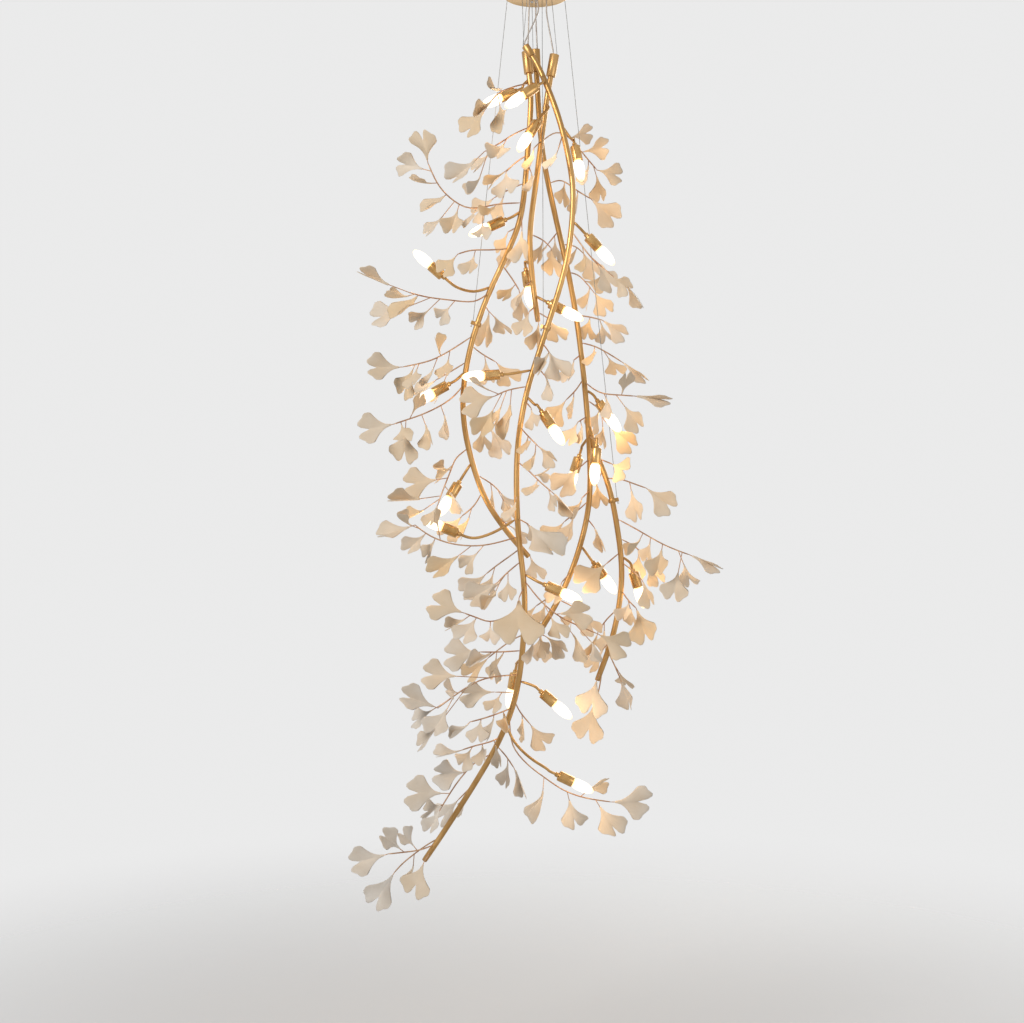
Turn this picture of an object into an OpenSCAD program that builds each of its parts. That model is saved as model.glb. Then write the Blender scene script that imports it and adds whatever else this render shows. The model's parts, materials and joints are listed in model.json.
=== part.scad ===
// Cascade chandelier: curved brass stems hang from a small ceiling canopy on steel wires and clear cords.
// Each stem carries thin twigs with two-lobed porcelain leaves, and short arms with frosted pin lamps.
// The origin is the middle of the canopy's top face, on the ceiling. X is right, Y is back, Z is up.

/* [Canopy] */
// Outer diameter of the canopy
canopy_d = 138; // [130:1:180]
// Height of the canopy
canopy_h = 45; // [40:1:70]
// Sheet thickness of the canopy
canopy_wall = 1.5; // [1:0.1:3]
// Sheet thickness of the ceiling plate
plate_t = 2.5; // [2:0.1:4]
// Width of the ceiling plate's strap
plate_w = 36; // [30:1:44]
// Distance between the two ceiling screws
screw_pitch = 80; // [70:1:90]
// Diameter of the ceiling screw holes
screw_hole_d = 5.5; // [4:0.1:7]
// Diameter of the two screws that hold the canopy
side_screw_d = 4; // [3:0.1:5]

/* [Suspension] */
// Drop from the canopy's underside to the head of the longest stem
head_drop = 109; // [80:1:400]
// Diameter of a suspension wire
wire_d = 1.2; // [0.8:0.1:2]
// Diameter of a power cord
cord_d = 3; // [2.4:0.1:4]
// Diameter of a wire gripper's barrel
gripper_d = 8; // [7:0.1:10]

/* [Stems] */
// Outer diameter of a stem tube
stem_d = 12; // [10:0.5:14]
// Outer diameter of a stem's cap
cap_d = 20; // [18:0.5:26]
// Length of a stem's cap
cap_l = 46; // [36:1:60]
// Wall of a stem's cap
cap_wall = 1.6; // [1:0.1:2.5]

/* [Lamps] */
// Diameter of a lamp arm
arm_d = 6; // [5:0.1:7]
// Outer diameter of a lamp cup
cup_d = 22; // [21:0.5:24]
// Length of a lamp cup
cup_l = 40; // [36:1:46]
// Wall of a lamp cup
cup_wall = 1.6; // [1:0.1:2]
// Largest diameter of a lamp's frosted glass
bulb_d = 22; // [18:0.5:24]
// Length of the glass outside the cup
bulb_l = 46; // [40:1:50]
// Diameter of a lamp's contact pin
pin_d = 1.6; // [1:0.1:2]
// Distance between a lamp's two pins
pin_pitch = 9; // [8:0.1:10]
// Length of a contact pin
pin_l = 8; // [6:0.5:9]

/* [Leaves] */
// Diameter of a twig
twig_d = 2.6; // [2:0.1:3.4]
// Diameter of the stalk that a leaf is glued on
stalk_d = 1.8; // [1.4:0.1:2.2]
// Thickness of a porcelain leaf
leaf_t = 2.2; // [1.6:0.1:3]
// Angle by which each half of a leaf is raised
leaf_fold = 14; // [6:1:20]

/* [Hidden] */
$fn = 48;
gap = 0.2;
brass = "#c79a55";
porcelain = "#efe9e2";
steel = "#b9b9b6";

// Shapes are placed on a front elevation, [across, down, depth], in units of 2.1 mm
// as seen from 3 m away, so that a point further back sits wider. Depth is in millimetres.
unit_mm = 2.1;
view_mm = 3000;
axis_u = 536;
eye_u = 512;
eye_v = 511.5;
head_v = 48;
eye_x = (eye_u - axis_u) * unit_mm;
eye_z = -canopy_h - head_drop - (eye_v - head_v) * unit_mm;
function place(p) = let(s = (view_mm + p[2]) / view_mm * unit_mm)
    [eye_x + (p[0] - eye_u) * s, p[2], eye_z - (p[1] - eye_v) * s];

// Stems, from head to foot
front_route = [[528, 50, -38], [540, 70, -43], [558, 115, -52], [570, 165, -58], [573, 205, -60],
    [566, 265, -56], [543, 340, -46], [526, 395, -42], [517, 455, -46], [518, 530, -54],
    [525, 600, -62], [519, 680, -48], [504, 730, -28], [480, 775, -8], [445, 830, 5], [424, 861, 8]];
left_route = [[528, 66, -6], [531, 100, -8], [527, 160, -10], [521, 216, -13], [506, 256, -16],
    [486, 300, -16], [470, 349, -14], [463, 397, -10], [467, 442, -5], [483, 494, 2],
    [505, 529, 8], [529, 557, 12]];
middle_route = [[552, 69, 0], [546, 105, 3], [537, 175, 12], [530, 232, 20], [532, 275, 22], [538, 322, 20]];
right_route = [[536, 64, 26], [541, 140, 46], [551, 197, 52], [571, 286, 48], [582, 360, 42],
    [589, 440, 34], [589, 505, 28], [575, 562, 22], [556, 604, 18], [540, 631, 15]];
branch_route = [[588, 425, 35], [596, 452, 30], [608, 484, 22], [616, 520, 14], [622, 575, 8],
    [614, 632, 6], [597, 681, 6]];

function unit(v) = v / norm(v);
// A smooth curve through the points p, with n steps from one point to the next
function curve(p, n) = concat([for (i = [0:len(p) - 2], k = [0:n - 1])
    let(t = k / n, b = p[i], c = p[i + 1],
        a = i > 0 ? p[i - 1] : 2 * b - c,
        d = i < len(p) - 2 ? p[i + 2] : 2 * c - b)
    b + ((c - a) * t + (2 * a - 5 * b + 4 * c - d) * t * t + (3 * b - a - 3 * c + d) * t * t * t) / 2],
    [p[len(p) - 1]]);
function stem_curve(route) = curve([for (p = route) place(p)], 3);
front_curve = stem_curve(front_route);
left_curve = stem_curve(left_route);
middle_curve = stem_curve(middle_route);
right_curve = stem_curve(right_route);
branch_curve = stem_curve(branch_route);

// The point of a stem that shows at elevation height v
function on_stem(path, v) =
    let(z = place([0, v, 0]).z, last = len(path) - 1,
        i = min([last - 1, for (k = [0:last - 1]) if (path[k + 1].z <= z) k]),
        t = (path[i].z - z) / (path[i].z - path[i + 1].z))
    path[i] + (path[i + 1] - path[i]) * max(0, min(1, t));

// Tubes are swept along a curve, with the section turned as little as possible
function heading(path, i) = unit(path[min(i + 1, len(path) - 1)] - path[max(i - 1, 0)]);
function side_of(n, h) = unit(n - (n * h) * h);
function first_side(h) = side_of(abs(h.y) < 0.8 ? [0, 1, 0] : [1, 0, 0], h);
function sides(path) = [for (i = 0, n = first_side(heading(path, 0)); i < len(path);
    i = i + 1, n = side_of(n, heading(path, min(i, len(path) - 1)))) n];
function rings(path, r, count) = let(n = sides(path)) [for (i = [0:len(path) - 1], k = [0:count - 1])
    let(m = cross(heading(path, i), n[i]), a = 360 * k / count)
    path[i] + r * (cos(a) * n[i] + sin(a) * m)];
function skin(length, count, from, flip) = [for (i = [0:length - 2], k = [0:count - 1])
    let(a = from + i * count + k, b = from + i * count + (k + 1) % count,
        c = a + count, d = b + count)
    each flip ? [[a, c, d], [a, d, b]] : [[a, d, c], [a, b, d]]];
module rod(path, d, count) {
    last = (len(path) - 1) * count;
    polyhedron(rings(path, d / 2, count), concat(skin(len(path), count, 0, false),
        [[for (k = [0:count - 1]) count - 1 - k], [for (k = [0:count - 1]) last + k]]));
}
function collar(count, inner, from, flip) = [for (k = [0:count - 1])
    let(a = from + k, b = from + (k + 1) % count, c = a + inner, d = b + inner)
    each flip ? [[a, d, c], [a, b, d]] : [[a, c, d], [a, d, b]]];
module pipe(path, d, bore, count) {
    inner = len(path) * count;
    last = inner - count;
    polyhedron(concat(rings(path, d / 2, count), rings(path, bore / 2, count)),
        concat(skin(len(path), count, 0, false), skin(len(path), count, inner, true),
            collar(count, inner, 0, false), collar(count, inner, last, true)));
}
// Puts a shape modelled along +Z at point p, with Z turned along h and X near the side n
module aim(p, h, n) {
    x = side_of(n, h);
    y = cross(h, x);
    multmatrix([[x.x, y.x, h.x, p.x], [x.y, y.y, h.y, p.y], [x.z, y.z, h.z, p.z], [0, 0, 0, 1]]) children();
}

// Lamps: [stem, height where the arm leaves it, points that the arm passes, cup's middle, glass's middle]
FRONT = 0;
LEFT = 1;
MIDDLE = 2;
RIGHT = 3;
BRANCH = 4;
curves = [front_curve, left_curve, middle_curve, right_curve, branch_curve];
LAMPS = [
    [LEFT, 80, [[523, 85, -16]], [509, 94, -26], [493, 101, -38]],
    [FRONT, 80, [], [531, 90, -62], [519, 98, -68]],
    [MIDDLE, 104, [[549, 108, -16]], [534, 127, -30], [523, 144, -42]],
    [LEFT, 212, [], [498, 223, -26], [477, 232, -32]],
    [LEFT, 288, [[474, 292, -28], [458, 288, -34]], [438, 272, -38], [422, 258, -40]],
    [FRONT, 226, [], [592, 241, -56], [606, 256, -52]],
    [FRONT, 130, [[571, 139, -20]], [576, 152, -10], [580, 172, -20]],
    [MIDDLE, 294, [], [555, 306, 4], [567, 312, 0]],
    [MIDDLE, 256, [[529, 263, 48]], [527, 277, 56], [529, 292, 58]],
    [FRONT, 372, [], [494, 375, -54], [480, 376, -58]],
    [LEFT, 372, [], [442, 388, -22], [424, 398, -28]],
    [FRONT, 397, [[535, 405, -50]], [546, 418, -62], [556, 433, -66]],
    [RIGHT, 388, [], [602, 407, 52], [615, 425, 58]],
    [LEFT, 462, [], [455, 489, -10], [444, 507, -16]],
    [FRONT, 518, [[497, 531, -62], [478, 538, -68]], [452, 531, -70], [432, 523, -70]],
    [RIGHT, 436, [[582, 446, 66]], [577, 463, 76], [572, 479, 80]],
    [RIGHT, 434, [[596, 440, -6]], [596, 454, -18], [595, 470, -22]],
    [FRONT, 572, [], [552, 588, -76], [572, 597, -80]],
    [RIGHT, 545, [], [598, 569, 36], [609, 584, 44]],
    [BRANCH, 556, [], [635, 578, 14], [642, 601, 18]],
    [FRONT, 655, [[516, 664, -18]], [514, 679, -8], [511, 696, 0]],
    [FRONT, 678, [], [547, 697, -62], [563, 711, -66]],
    [FRONT, 722, [[514, 742, -36], [530, 758, -42], [546, 768, -44]], [564, 778, -44], [583, 787, -44]],
];

// Twigs: [height where it leaves the stem, points that it passes, leaves], and each leaf:
// [share of the twig's length where its stalk starts, across, down, depth, width in mm, turn in degrees]
front_twigs_plan = [
    [140, [[558, 150, -78]], [[1, 552, 164, -92, 42, 60]]],
    [236, [[585, 250, -72], [597, 264, -78]], [[1, 606, 277, -84, 56, 15], [0.7, 626, 288, -124, 44, 60],
        [0.88, 641, 298, -60, 50, 80], [0.4, 586, 268, -100, 40, 45]]],
    [345, [[549, 352, -82]], [[1, 540, 370, -104, 60, 10], [0.7, 560, 372, -76, 56, 30]]],
    [366, [[545, 376, -90]], [[1, 553, 392, -104, 44, 50]]],
    [388, [[508, 390, -84], [495, 396, -96]], [[1, 474, 402, -104, 60, 15], [0.85, 474, 384, -122, 44, 70],
        [0.7, 482, 431, -118, 60, 10], [0.4, 508, 428, -104, 62, 25], [0.55, 496, 421, -84, 38, 55]]],
    [402, [[531, 408, -80]], [[1, 533, 420, -96, 40, 45]]],
    [428, [[528, 436, -72], [538, 446, -86]], [[0.5, 526, 450, -100, 40, 55], [1, 550, 456, -96, 46, 30],
        [0.9, 534, 466, -112, 40, 60]]],
    [462, [[528, 470, -66], [540, 482, -78], [552, 492, -84]], [[0.5, 543, 474, -56, 36, 60],
        [0.6, 534, 492, -98, 42, 45], [0.9, 554, 505, -106, 40, 65], [1, 568, 507, -88, 54, 25]]],
    [496, [[516, 500, -78]], [[1, 514, 512, -92, 42, 50]]],
    [518, [[528, 524, -92]], [[1, 548, 548, -118, 78, 8], [0.8, 536, 534, -70, 44, 60]]],
    [536, [[500, 542, -92], [478, 546, -104], [452, 544, -110], [430, 536, -112], [415, 525, -112]],
        [[1, 386, 535, -110, 60, 15], [0.93, 398, 520, -152, 44, 60], [0.85, 410, 549, -128, 50, 20],
        [0.75, 430, 551, -98, 44, 50], [0.7, 436, 514, -150, 38, 75], [0.45, 438, 571, -118, 60, 20],
        [0.35, 466, 566, -96, 42, 50]]],
    [560, [[508, 572, -84], [498, 582, -100]], [[1, 475, 598, -108, 60, 15], [0.8, 488, 608, -134, 50, 35],
        [0.6, 491, 594, -72, 42, 60], [0.5, 508, 596, -112, 42, 40]]],
    [578, [[538, 598, -96], [553, 612, -100], [570, 622, -100], [598, 634, -100]],
        [[1, 613, 642, -102, 58, 20], [0.8, 602, 654, -124, 42, 55], [0.55, 584, 612, -126, 62, 20],
        [0.6, 586, 652, -108, 52, 65], [0.35, 560, 634, -124, 44, 30]]],
    [585, [[519, 598, -98]], [[1, 519, 622, -134, 92, 5]]],
    [606, [[494, 622, -86], [478, 618, -98], [464, 613, -104]], [[1, 446, 607, -108, 60, 15],
        [0.7, 466, 634, -118, 54, 25], [0.4, 490, 640, -122, 42, 50], [0.85, 452, 628, -82, 42, 55]]],
    [625, [[534, 632, -80], [545, 636, -90]], [[1, 560, 646, -96, 46, 30], [0.7, 545, 652, -116, 42, 50],
        [0.4, 534, 658, -98, 44, 60]]],
    [648, [[500, 652, -84], [480, 652, -94]], [[1, 455, 655, -100, 60, 15], [0.7, 474, 666, -122, 64, 30],
        [0.4, 495, 668, -96, 44, 50]]],
    [672, [[500, 676, -66], [480, 680, -80], [458, 693, -92], [438, 708, -98]], [[0.4, 431, 675, -72, 60, 15],
        [1, 409, 698, -104, 64, 20], [0.88, 416, 720, -80, 46, 50], [0.75, 446, 690, -126, 44, 50],
        [0.8, 436, 730, -124, 58, 25], [0.65, 424, 744, -62, 52, 65]]],
    [690, [[494, 692, -66]], [[1, 472, 693, -70, 56, 20], [0.6, 492, 708, -84, 40, 50]]],
    [705, [[502, 712, -62], [485, 718, -84], [470, 722, -92]], [[1, 459, 734, -100, 42, 50],
        [0.75, 478, 734, -112, 46, 30], [0.5, 492, 732, -72, 44, 60], [0.3, 508, 726, -90, 56, 15]]],
    [735, [[490, 742, -50], [474, 746, -66], [462, 750, -72]], [[1, 444, 756, -78, 46, 55],
        [0.7, 462, 764, -96, 44, 40], [0.5, 484, 759, -88, 46, 30], [0.2, 500, 762, -56, 42, 60]]],
    [752, [[474, 763, -34], [456, 784, -46], [441, 808, -52]], [[0.5, 443, 774, -66, 60, 20],
        [0.8, 415, 793, -70, 66, 12], [0.95, 428, 812, -30, 44, 60], [1, 431, 828, -68, 46, 20]]],
    [714, [[512, 745, -8], [527, 764, -2], [544, 777, 0], [563, 790, 4], [585, 798, 8], [612, 802, 10]],
        [[1, 637, 802, 12, 68, 10], [0.9, 613, 828, -6, 62, 20], [0.7, 574, 820, 22, 56, 25],
        [0.5, 541, 815, -14, 60, 70], [0.8, 600, 781, 32, 46, 45]]],
    [838, [[425, 846, 30], [404, 862, 40], [394, 873, 44]],
        [[1, 380, 896, 48, 66, 10], [0.5, 412, 880, 62, 44, 50]]],
    [845, [[420, 850, -16], [406, 852, -26], [388, 854, -32]], [[1, 360, 862, -36, 62, 15],
        [0.7, 384, 836, -52, 56, 25], [0.4, 404, 834, -40, 42, 60]]],
    [852, [[424, 862, -14]], [[1, 416, 884, -24, 60, 10]]],
    [548, [[510, 556, -20], [496, 566, 20], [486, 574, 44]],
        [[1, 474, 586, 60, 56, 20], [0.7, 488, 592, 34, 46, 45]]],
    [632, [[512, 640, -20], [498, 650, 16], [488, 658, 36]],
        [[1, 476, 670, 52, 56, 20], [0.7, 494, 676, 24, 46, 45]]],
    [698, [[520, 712, 10], [530, 724, 34]], [[1, 540, 738, 50, 56, 25], [0.6, 524, 736, 24, 46, 45]]],
    [744, [[506, 756, 24], [514, 768, 44]], [[1, 522, 784, 58, 54, 25], [0.6, 508, 780, 40, 44, 45]]],
    [780, [[468, 790, 24], [458, 800, 40]], [[1, 446, 814, 52, 54, 25], [0.6, 462, 812, 38, 44, 45]]],
];
left_twigs_plan = [
    [84, [[516, 86, -42], [500, 92, -74], [492, 100, -92]], [[0.6, 490, 90, -118, 44, 20],
        [1, 482, 112, -110, 60, 5], [0.85, 470, 130, -84, 56, 25], [0.75, 503, 123, -114, 52, 10]]],
    [128, [[514, 134, -36], [500, 143, -66], [484, 152, -84]], [[0.5, 496, 158, -100, 62, 10],
        [0.75, 478, 168, -62, 44, 55], [1, 457, 178, -92, 62, 20], [0.9, 475, 192, -122, 46, 65]]],
    [156, [[515, 163, -32], [506, 172, -48]], [[1, 506, 188, -78, 58, 30], [0.7, 490, 183, -30, 44, 70]]],
    [164, [[531, 172, -42]], [[1, 534, 186, -62, 42, 50]]],
    [204, [[497, 204, -40], [470, 209, -66], [450, 198, -78], [437, 183, -84], [428, 163, -88]],
        [[1, 423, 139, -92, 54, 30], [0.92, 404, 164, -70, 50, 20], [0.8, 416, 184, -108, 42, 60],
        [0.65, 432, 206, -92, 50, 15], [0.5, 452, 230, -100, 56, 10], [0.55, 430, 232, -66, 44, 50],
        [0.35, 468, 222, -84, 42, 65], [0.2, 487, 216, -78, 46, 25], [0.3, 482, 236, -108, 44, 60]]],
    [216, [[522, 229, -48]], [[1, 521, 250, -62, 60, 70]]],
    [228, [[508, 232, 22]], [[1, 502, 246, 34, 44, 40]]],
    [250, [[490, 250, -56], [472, 250, -72], [458, 254, -80]], [[1, 444, 270, -94, 44, 20],
        [0.6, 470, 272, -86, 44, 25]]],
    [266, [[513, 280, 14], [519, 290, 24]], [[0.7, 504, 298, 10, 38, 40], [1, 524, 314, 36, 44, 30]]],
    [294, [[474, 302, -52], [450, 300, -64], [426, 297, -72], [408, 292, -76]], [[0.9, 393, 300, -58, 42, 65],
        [1, 366, 276, -84, 60, 10], [0.85, 402, 312, -100, 62, 15], [0.7, 380, 318, -60, 60, 30],
        [0.6, 416, 322, -84, 44, 60], [0.45, 440, 318, -90, 42, 40]]],
    [305, [[489, 312, 22]], [[1, 487, 328, 34, 60, 20], [0.8, 505, 328, 50, 46, 60]]],
    [336, [[451, 350, -46], [430, 361, -66], [402, 367, -78]], [[1, 384, 368, -82, 58, 10],
        [0.85, 404, 390, -62, 54, 30], [0.8, 412, 382, -112, 48, 50], [0.55, 428, 382, -90, 42, 60],
        [0.35, 446, 374, -78, 44, 40], [0.5, 436, 343, -76, 42, 50]]],
    [385, [[450, 400, -50], [426, 413, -74], [406, 420, -84], [394, 424, -88]], [[1, 376, 428, -92, 60, 10],
        [0.85, 405, 438, -114, 44, 55], [0.75, 404, 454, -76, 58, 20], [0.7, 420, 398, -94, 42, 60],
        [0.55, 432, 442, -104, 50, 35], [0.35, 450, 432, -66, 44, 70]]],
    [448, [[456, 458, -44], [451, 470, -62], [443, 490, -82], [438, 504, -88]], [[0.5, 434, 470, -98, 46, 30],
        [0.6, 412, 484, -80, 60, 15], [0.4, 441, 478, -40, 42, 65], [0.85, 396, 502, -108, 62, 25],
        [0.9, 412, 518, -34, 44, 60], [1, 432, 520, -104, 44, 50], [0.7, 461, 506, -70, 42, 60]]],
    [474, [[492, 484, 34], [500, 492, 46]], [[1, 508, 502, 56, 40, 40], [0.45, 494, 506, 26, 38, 60],
        [0.8, 512, 516, 34, 42, 30]]],
    [518, [[510, 526, 38]], [[1, 524, 534, 50, 42, 50]]],
    [550, [[530, 556, 34]], [[1, 537, 574, 42, 44, 30]]],
    [184, [[508, 190, 26], [494, 198, 48]], [[1, 482, 208, 64, 54, 25], [0.6, 497, 216, 40, 46, 45]]],
    [346, [[482, 354, 26], [496, 362, 44]], [[1, 508, 376, 58, 52, 20], [0.6, 488, 378, 40, 44, 50]]],
    [362, [[450, 372, 26], [436, 380, 42]], [[1, 420, 392, 54, 50, 25], [0.6, 438, 398, 44, 44, 45]]],
    [412, [[478, 420, 24], [490, 428, 42]], [[1, 500, 444, 54, 54, 20], [0.6, 484, 446, 40, 44, 50]]],
    [492, [[474, 506, 30], [462, 516, 46]], [[1, 450, 530, 58, 54, 25], [0.6, 464, 534, 44, 44, 50]]],
];
middle_twigs_plan = [
    [140, [[534, 148, -26]], [[1, 531, 164, -38, 42, 60]]],
    [232, [[543, 240, 56], [551, 248, 66]], [[1, 553, 264, 76, 50, 30], [0.5, 539, 256, 62, 40, 50]]],
    [240, [[518, 247, 52]], [[1, 509, 262, 62, 46, 30]]],
    [278, [[525, 286, -18]], [[1, 520, 300, -28, 44, 30]]],
    [304, [[529, 312, -12]], [[1, 524, 328, -20, 46, 25]]],
    [310, [[548, 318, 34]], [[1, 556, 332, 42, 46, 30]]],
    [314, [[539, 319, 2]], [[1, 537, 344, -2, 48, 25]]],
];
right_twigs_plan = [
    [136, [[556, 132, 66], [570, 138, 76], [585, 156, 84], [597, 170, 88]], [[0.5, 583, 134, 84, 42, 30],
        [0.7, 599, 148, 70, 50, 70], [1, 613, 174, 92, 46, 30], [0.82, 588, 180, 66, 44, 50],
        [0.92, 602, 194, 108, 46, 40]]],
    [178, [[562, 180, 76], [576, 190, 86], [591, 199, 92]], [[1, 607, 213, 96, 62, 15],
        [0.7, 578, 208, 106, 42, 50], [0.4, 563, 196, 92, 42, 40]]],
    [240, [[575, 246, 96], [584, 254, 116]], [[1, 594, 270, 128, 50, 30], [0.6, 570, 264, 122, 44, 30]]],
    [268, [[580, 276, 72], [592, 290, 82]], [[0.7, 600, 284, 104, 44, 40], [1, 606, 308, 88, 48, 35],
        [0.9, 588, 304, 108, 44, 50]]],
    [312, [[590, 317, 50], [602, 320, 54]], [[1, 614, 328, 58, 52, 20], [0.9, 606, 338, 86, 44, 50],
        [0.5, 588, 332, 70, 42, 40]]],
    [340, [[594, 346, 52], [606, 352, 54], [622, 362, 52]], [[1, 639, 374, 50, 56, 20],
        [0.6, 617, 371, 84, 44, 40], [0.35, 594, 362, 26, 42, 50]]],
    [352, [[574, 360, 12]], [[1, 571, 376, 2, 44, 45]]],
    [380, [[600, 393, -6], [620, 395, -12], [634, 396, -14]], [[1, 653, 398, -16, 64, 15],
        [0.7, 626, 380, -34, 44, 50], [0.4, 612, 412, -22, 42, 50], [0.6, 638, 424, -36, 56, 20]]],
    [398, [[598, 408, 74], [604, 420, 88]], [[1, 628, 442, 94, 62, 15], [0.6, 594, 426, 98, 44, 40],
        [0.8, 604, 442, 112, 42, 60]]],
    [415, [[578, 422, 8]], [[1, 569, 438, -4, 46, 40], [0.7, 584, 438, -14, 40, 60]]],
    [458, [[579, 468, 0]], [[1, 566, 482, -14, 62, 30]]],
    [490, [[582, 498, 0]], [[1, 578, 513, -14, 46, 45]]],
    [518, [[594, 527, 0]], [[1, 601, 542, -10, 50, 20]]],
    [572, [[562, 582, -12]], [[1, 556, 596, -24, 44, 40]]],
    [600, [[572, 606, 34], [580, 612, 42]], [[1, 590, 624, 50, 50, 30], [0.6, 572, 622, 58, 42, 50]]],
    [624, [[541, 631, -6]], [[1, 540, 655, -10, 48, 30]]],
    [226, [[556, 234, 84], [548, 244, 104]], [[1, 538, 258, 118, 50, 25], [0.6, 556, 258, 98, 42, 45]]],
    [376, [[576, 390, 70], [566, 400, 90]], [[1, 556, 414, 102, 52, 25], [0.6, 572, 414, 86, 44, 45]]],
    [500, [[576, 512, 54], [564, 522, 76]], [[1, 552, 536, 90, 56, 20], [0.6, 570, 536, 68, 46, 45]]],
    [588, [[548, 598, 50], [536, 606, 70]], [[1, 524, 620, 82, 54, 25], [0.6, 542, 622, 64, 44, 45]]],
];
branch_twigs_plan = [
    [458, [[612, 464, 4]], [[1, 622, 470, -34, 54, 15]]],
    [470, [[596, 482, 62]], [[1, 600, 500, 72, 46, 50]]],
    [478, [[620, 479, -10], [632, 483, -14], [646, 488, -16]],
        [[1, 658, 497, -18, 60, 15], [0.6, 636, 513, -36, 60, 65]]],
    [518, [[638, 530, -6], [664, 545, -18], [690, 555, -24]], [[1, 711, 564, -28, 58, 15],
        [0.4, 633, 554, -34, 46, 60], [0.5, 648, 558, 10, 44, 55], [0.65, 658, 571, -48, 60, 20],
        [0.85, 690, 580, 4, 46, 65], [0.9, 674, 594, -54, 56, 15]]],
    [552, [[606, 564, -20]], [[1, 588, 580, -34, 66, 15]]],
    [562, [[634, 572, -30], [642, 580, -38]], [[1, 650, 598, -46, 48, 35]]],
    [590, [[628, 600, -16], [636, 608, -22]], [[1, 643, 626, -32, 64, 20], [0.6, 624, 618, -44, 46, 30],
        [0.5, 634, 622, 20, 42, 50]]],
    [640, [[604, 648, 28]], [[1, 596, 662, 38, 46, 40]]],
    [652, [[614, 664, 24], [620, 678, 34]], [[1, 629, 702, 40, 56, 20], [0.5, 626, 684, 60, 42, 50]]],
    [666, [[599, 690, 36], [594, 704, 42]], [[1, 589, 729, 48, 66, 15]]],
    [672, [[597, 679, -16]], [[1, 592, 704, -24, 64, 15]]],
    [538, [[636, 547, 44], [646, 559, 62]], [[1, 656, 574, 74, 52, 25], [0.6, 640, 572, 56, 44, 45]]],
    [608, [[606, 620, 40], [598, 632, 58]], [[1, 592, 652, 84, 52, 25], [0.6, 604, 648, 52, 44, 45]]],
];
plans = [front_twigs_plan, left_twigs_plan, middle_twigs_plan, right_twigs_plan, branch_twigs_plan];

// Fits that several pieces share
stem_wall = 1;
braze_depth = 0.8;
cap_seat = 16;
plug_d = stem_d + 4;
plug_l = 26;
disc_t = 2 * cap_wall;
cord_tail = 5;
cord_slack = 12;
cord_lead = 14;
wire_lead = 4;
socket_l = 8;
arm_lead = 14;
cup_floor = 10;
cup_bore = cup_d - 2 * cup_wall;
holder_l = 14;
base_d = cup_bore - 4.8;
base_seat = 5;
lead_hole_d = 3;
stop_d = wire_d + 2.6;
stop_l = 5;
clamp_h = 8;
clamp_rim = 2.6;
lug_l = 6;
lug_hole_rim = 2.6;
lug_x = stem_d / 2 + clamp_rim + lug_hole_rim;
stalk_min = 4.5;
stalk_seat = 5;

canopy_r = canopy_d / 2;
canopy_bore_r = canopy_r - canopy_wall;
tab_x = sqrt(canopy_bore_r * canopy_bore_r - plate_w * plate_w / 4) - 0.5;
tab_h = 24;
side_screw_z = -14;
side_head_d = 9;
side_head_l = 5;
supply_hole_d = 9;
gland_d = 8;
gland_flange_d = 10;
gland_flange_t = 3;
gland_nose_l = 8;
gland_lip = 0.8;
gripper_flange_d = gripper_d + 3;
gripper_flange_t = 2;
gripper_l = 16;
nozzle_d = gripper_d - 2;
nozzle_l = 3;
rim_inset = 9;

// Heads of the hung stems: [curve, cap diameter, cap length, offset of its two holes]
HEADS = [
    [front_curve, plug_d, plug_l, 3.6],
    [left_curve, cap_d, cap_l, 4.5],
    [middle_curve, cap_d, cap_l, -4.5],
    [right_curve, cap_d, cap_l, 4.5],
];
function head_axis(k) = unit(HEADS[k][0][0] - HEADS[k][0][1]);
function head_point(k, across, up) = HEADS[k][0][0] + across * side_of([1, 0, 0], head_axis(k))
    + (HEADS[k][2] - cap_seat + up) * head_axis(k);

// Where cords and wires leave the canopy, across and back from its middle
CORD_EXITS = [[3, -20], [-14, -4], [22, -5], [0, 18]];
cord_bends = [[[3, -23, -90]], [[-15, -5, -85]], [[23, -4, -90]], [[0, 20, -85]]];
HEAD_WIRES = [[0, -18, -34], [1, -29, -6], [2, 33, 4], [3, -8, 30]];
// Wires that end on a clamp: [exit across, exit back, curve, height on the stem, side of the lug]
CLAMP_WIRES = [
    [-canopy_r + rim_inset, 0, left_curve, 330, [-1, 0, 0]],
    [canopy_r - rim_inset, 0, branch_curve, 502, [1, 0, 0]],
    [13, 8, front_curve, 330, [-1, 0.4, 0]],
];

function chord_at(path, v) = let(z = place([0, v, 0]).z)
    min([len(path) - 2, for (k = [0:len(path) - 2]) if (path[k + 1].z <= z) k]);
function clamp_axis(w) = let(i = chord_at(w[2], w[3])) unit(w[2][i] - w[2][i + 1]);
function clamp_point(w, across, up) = let(i = chord_at(w[2], w[3]))
    (w[2][i] + w[2][i + 1]) / 2 + across * side_of(w[4], clamp_axis(w)) + up * clamp_axis(w);

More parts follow.
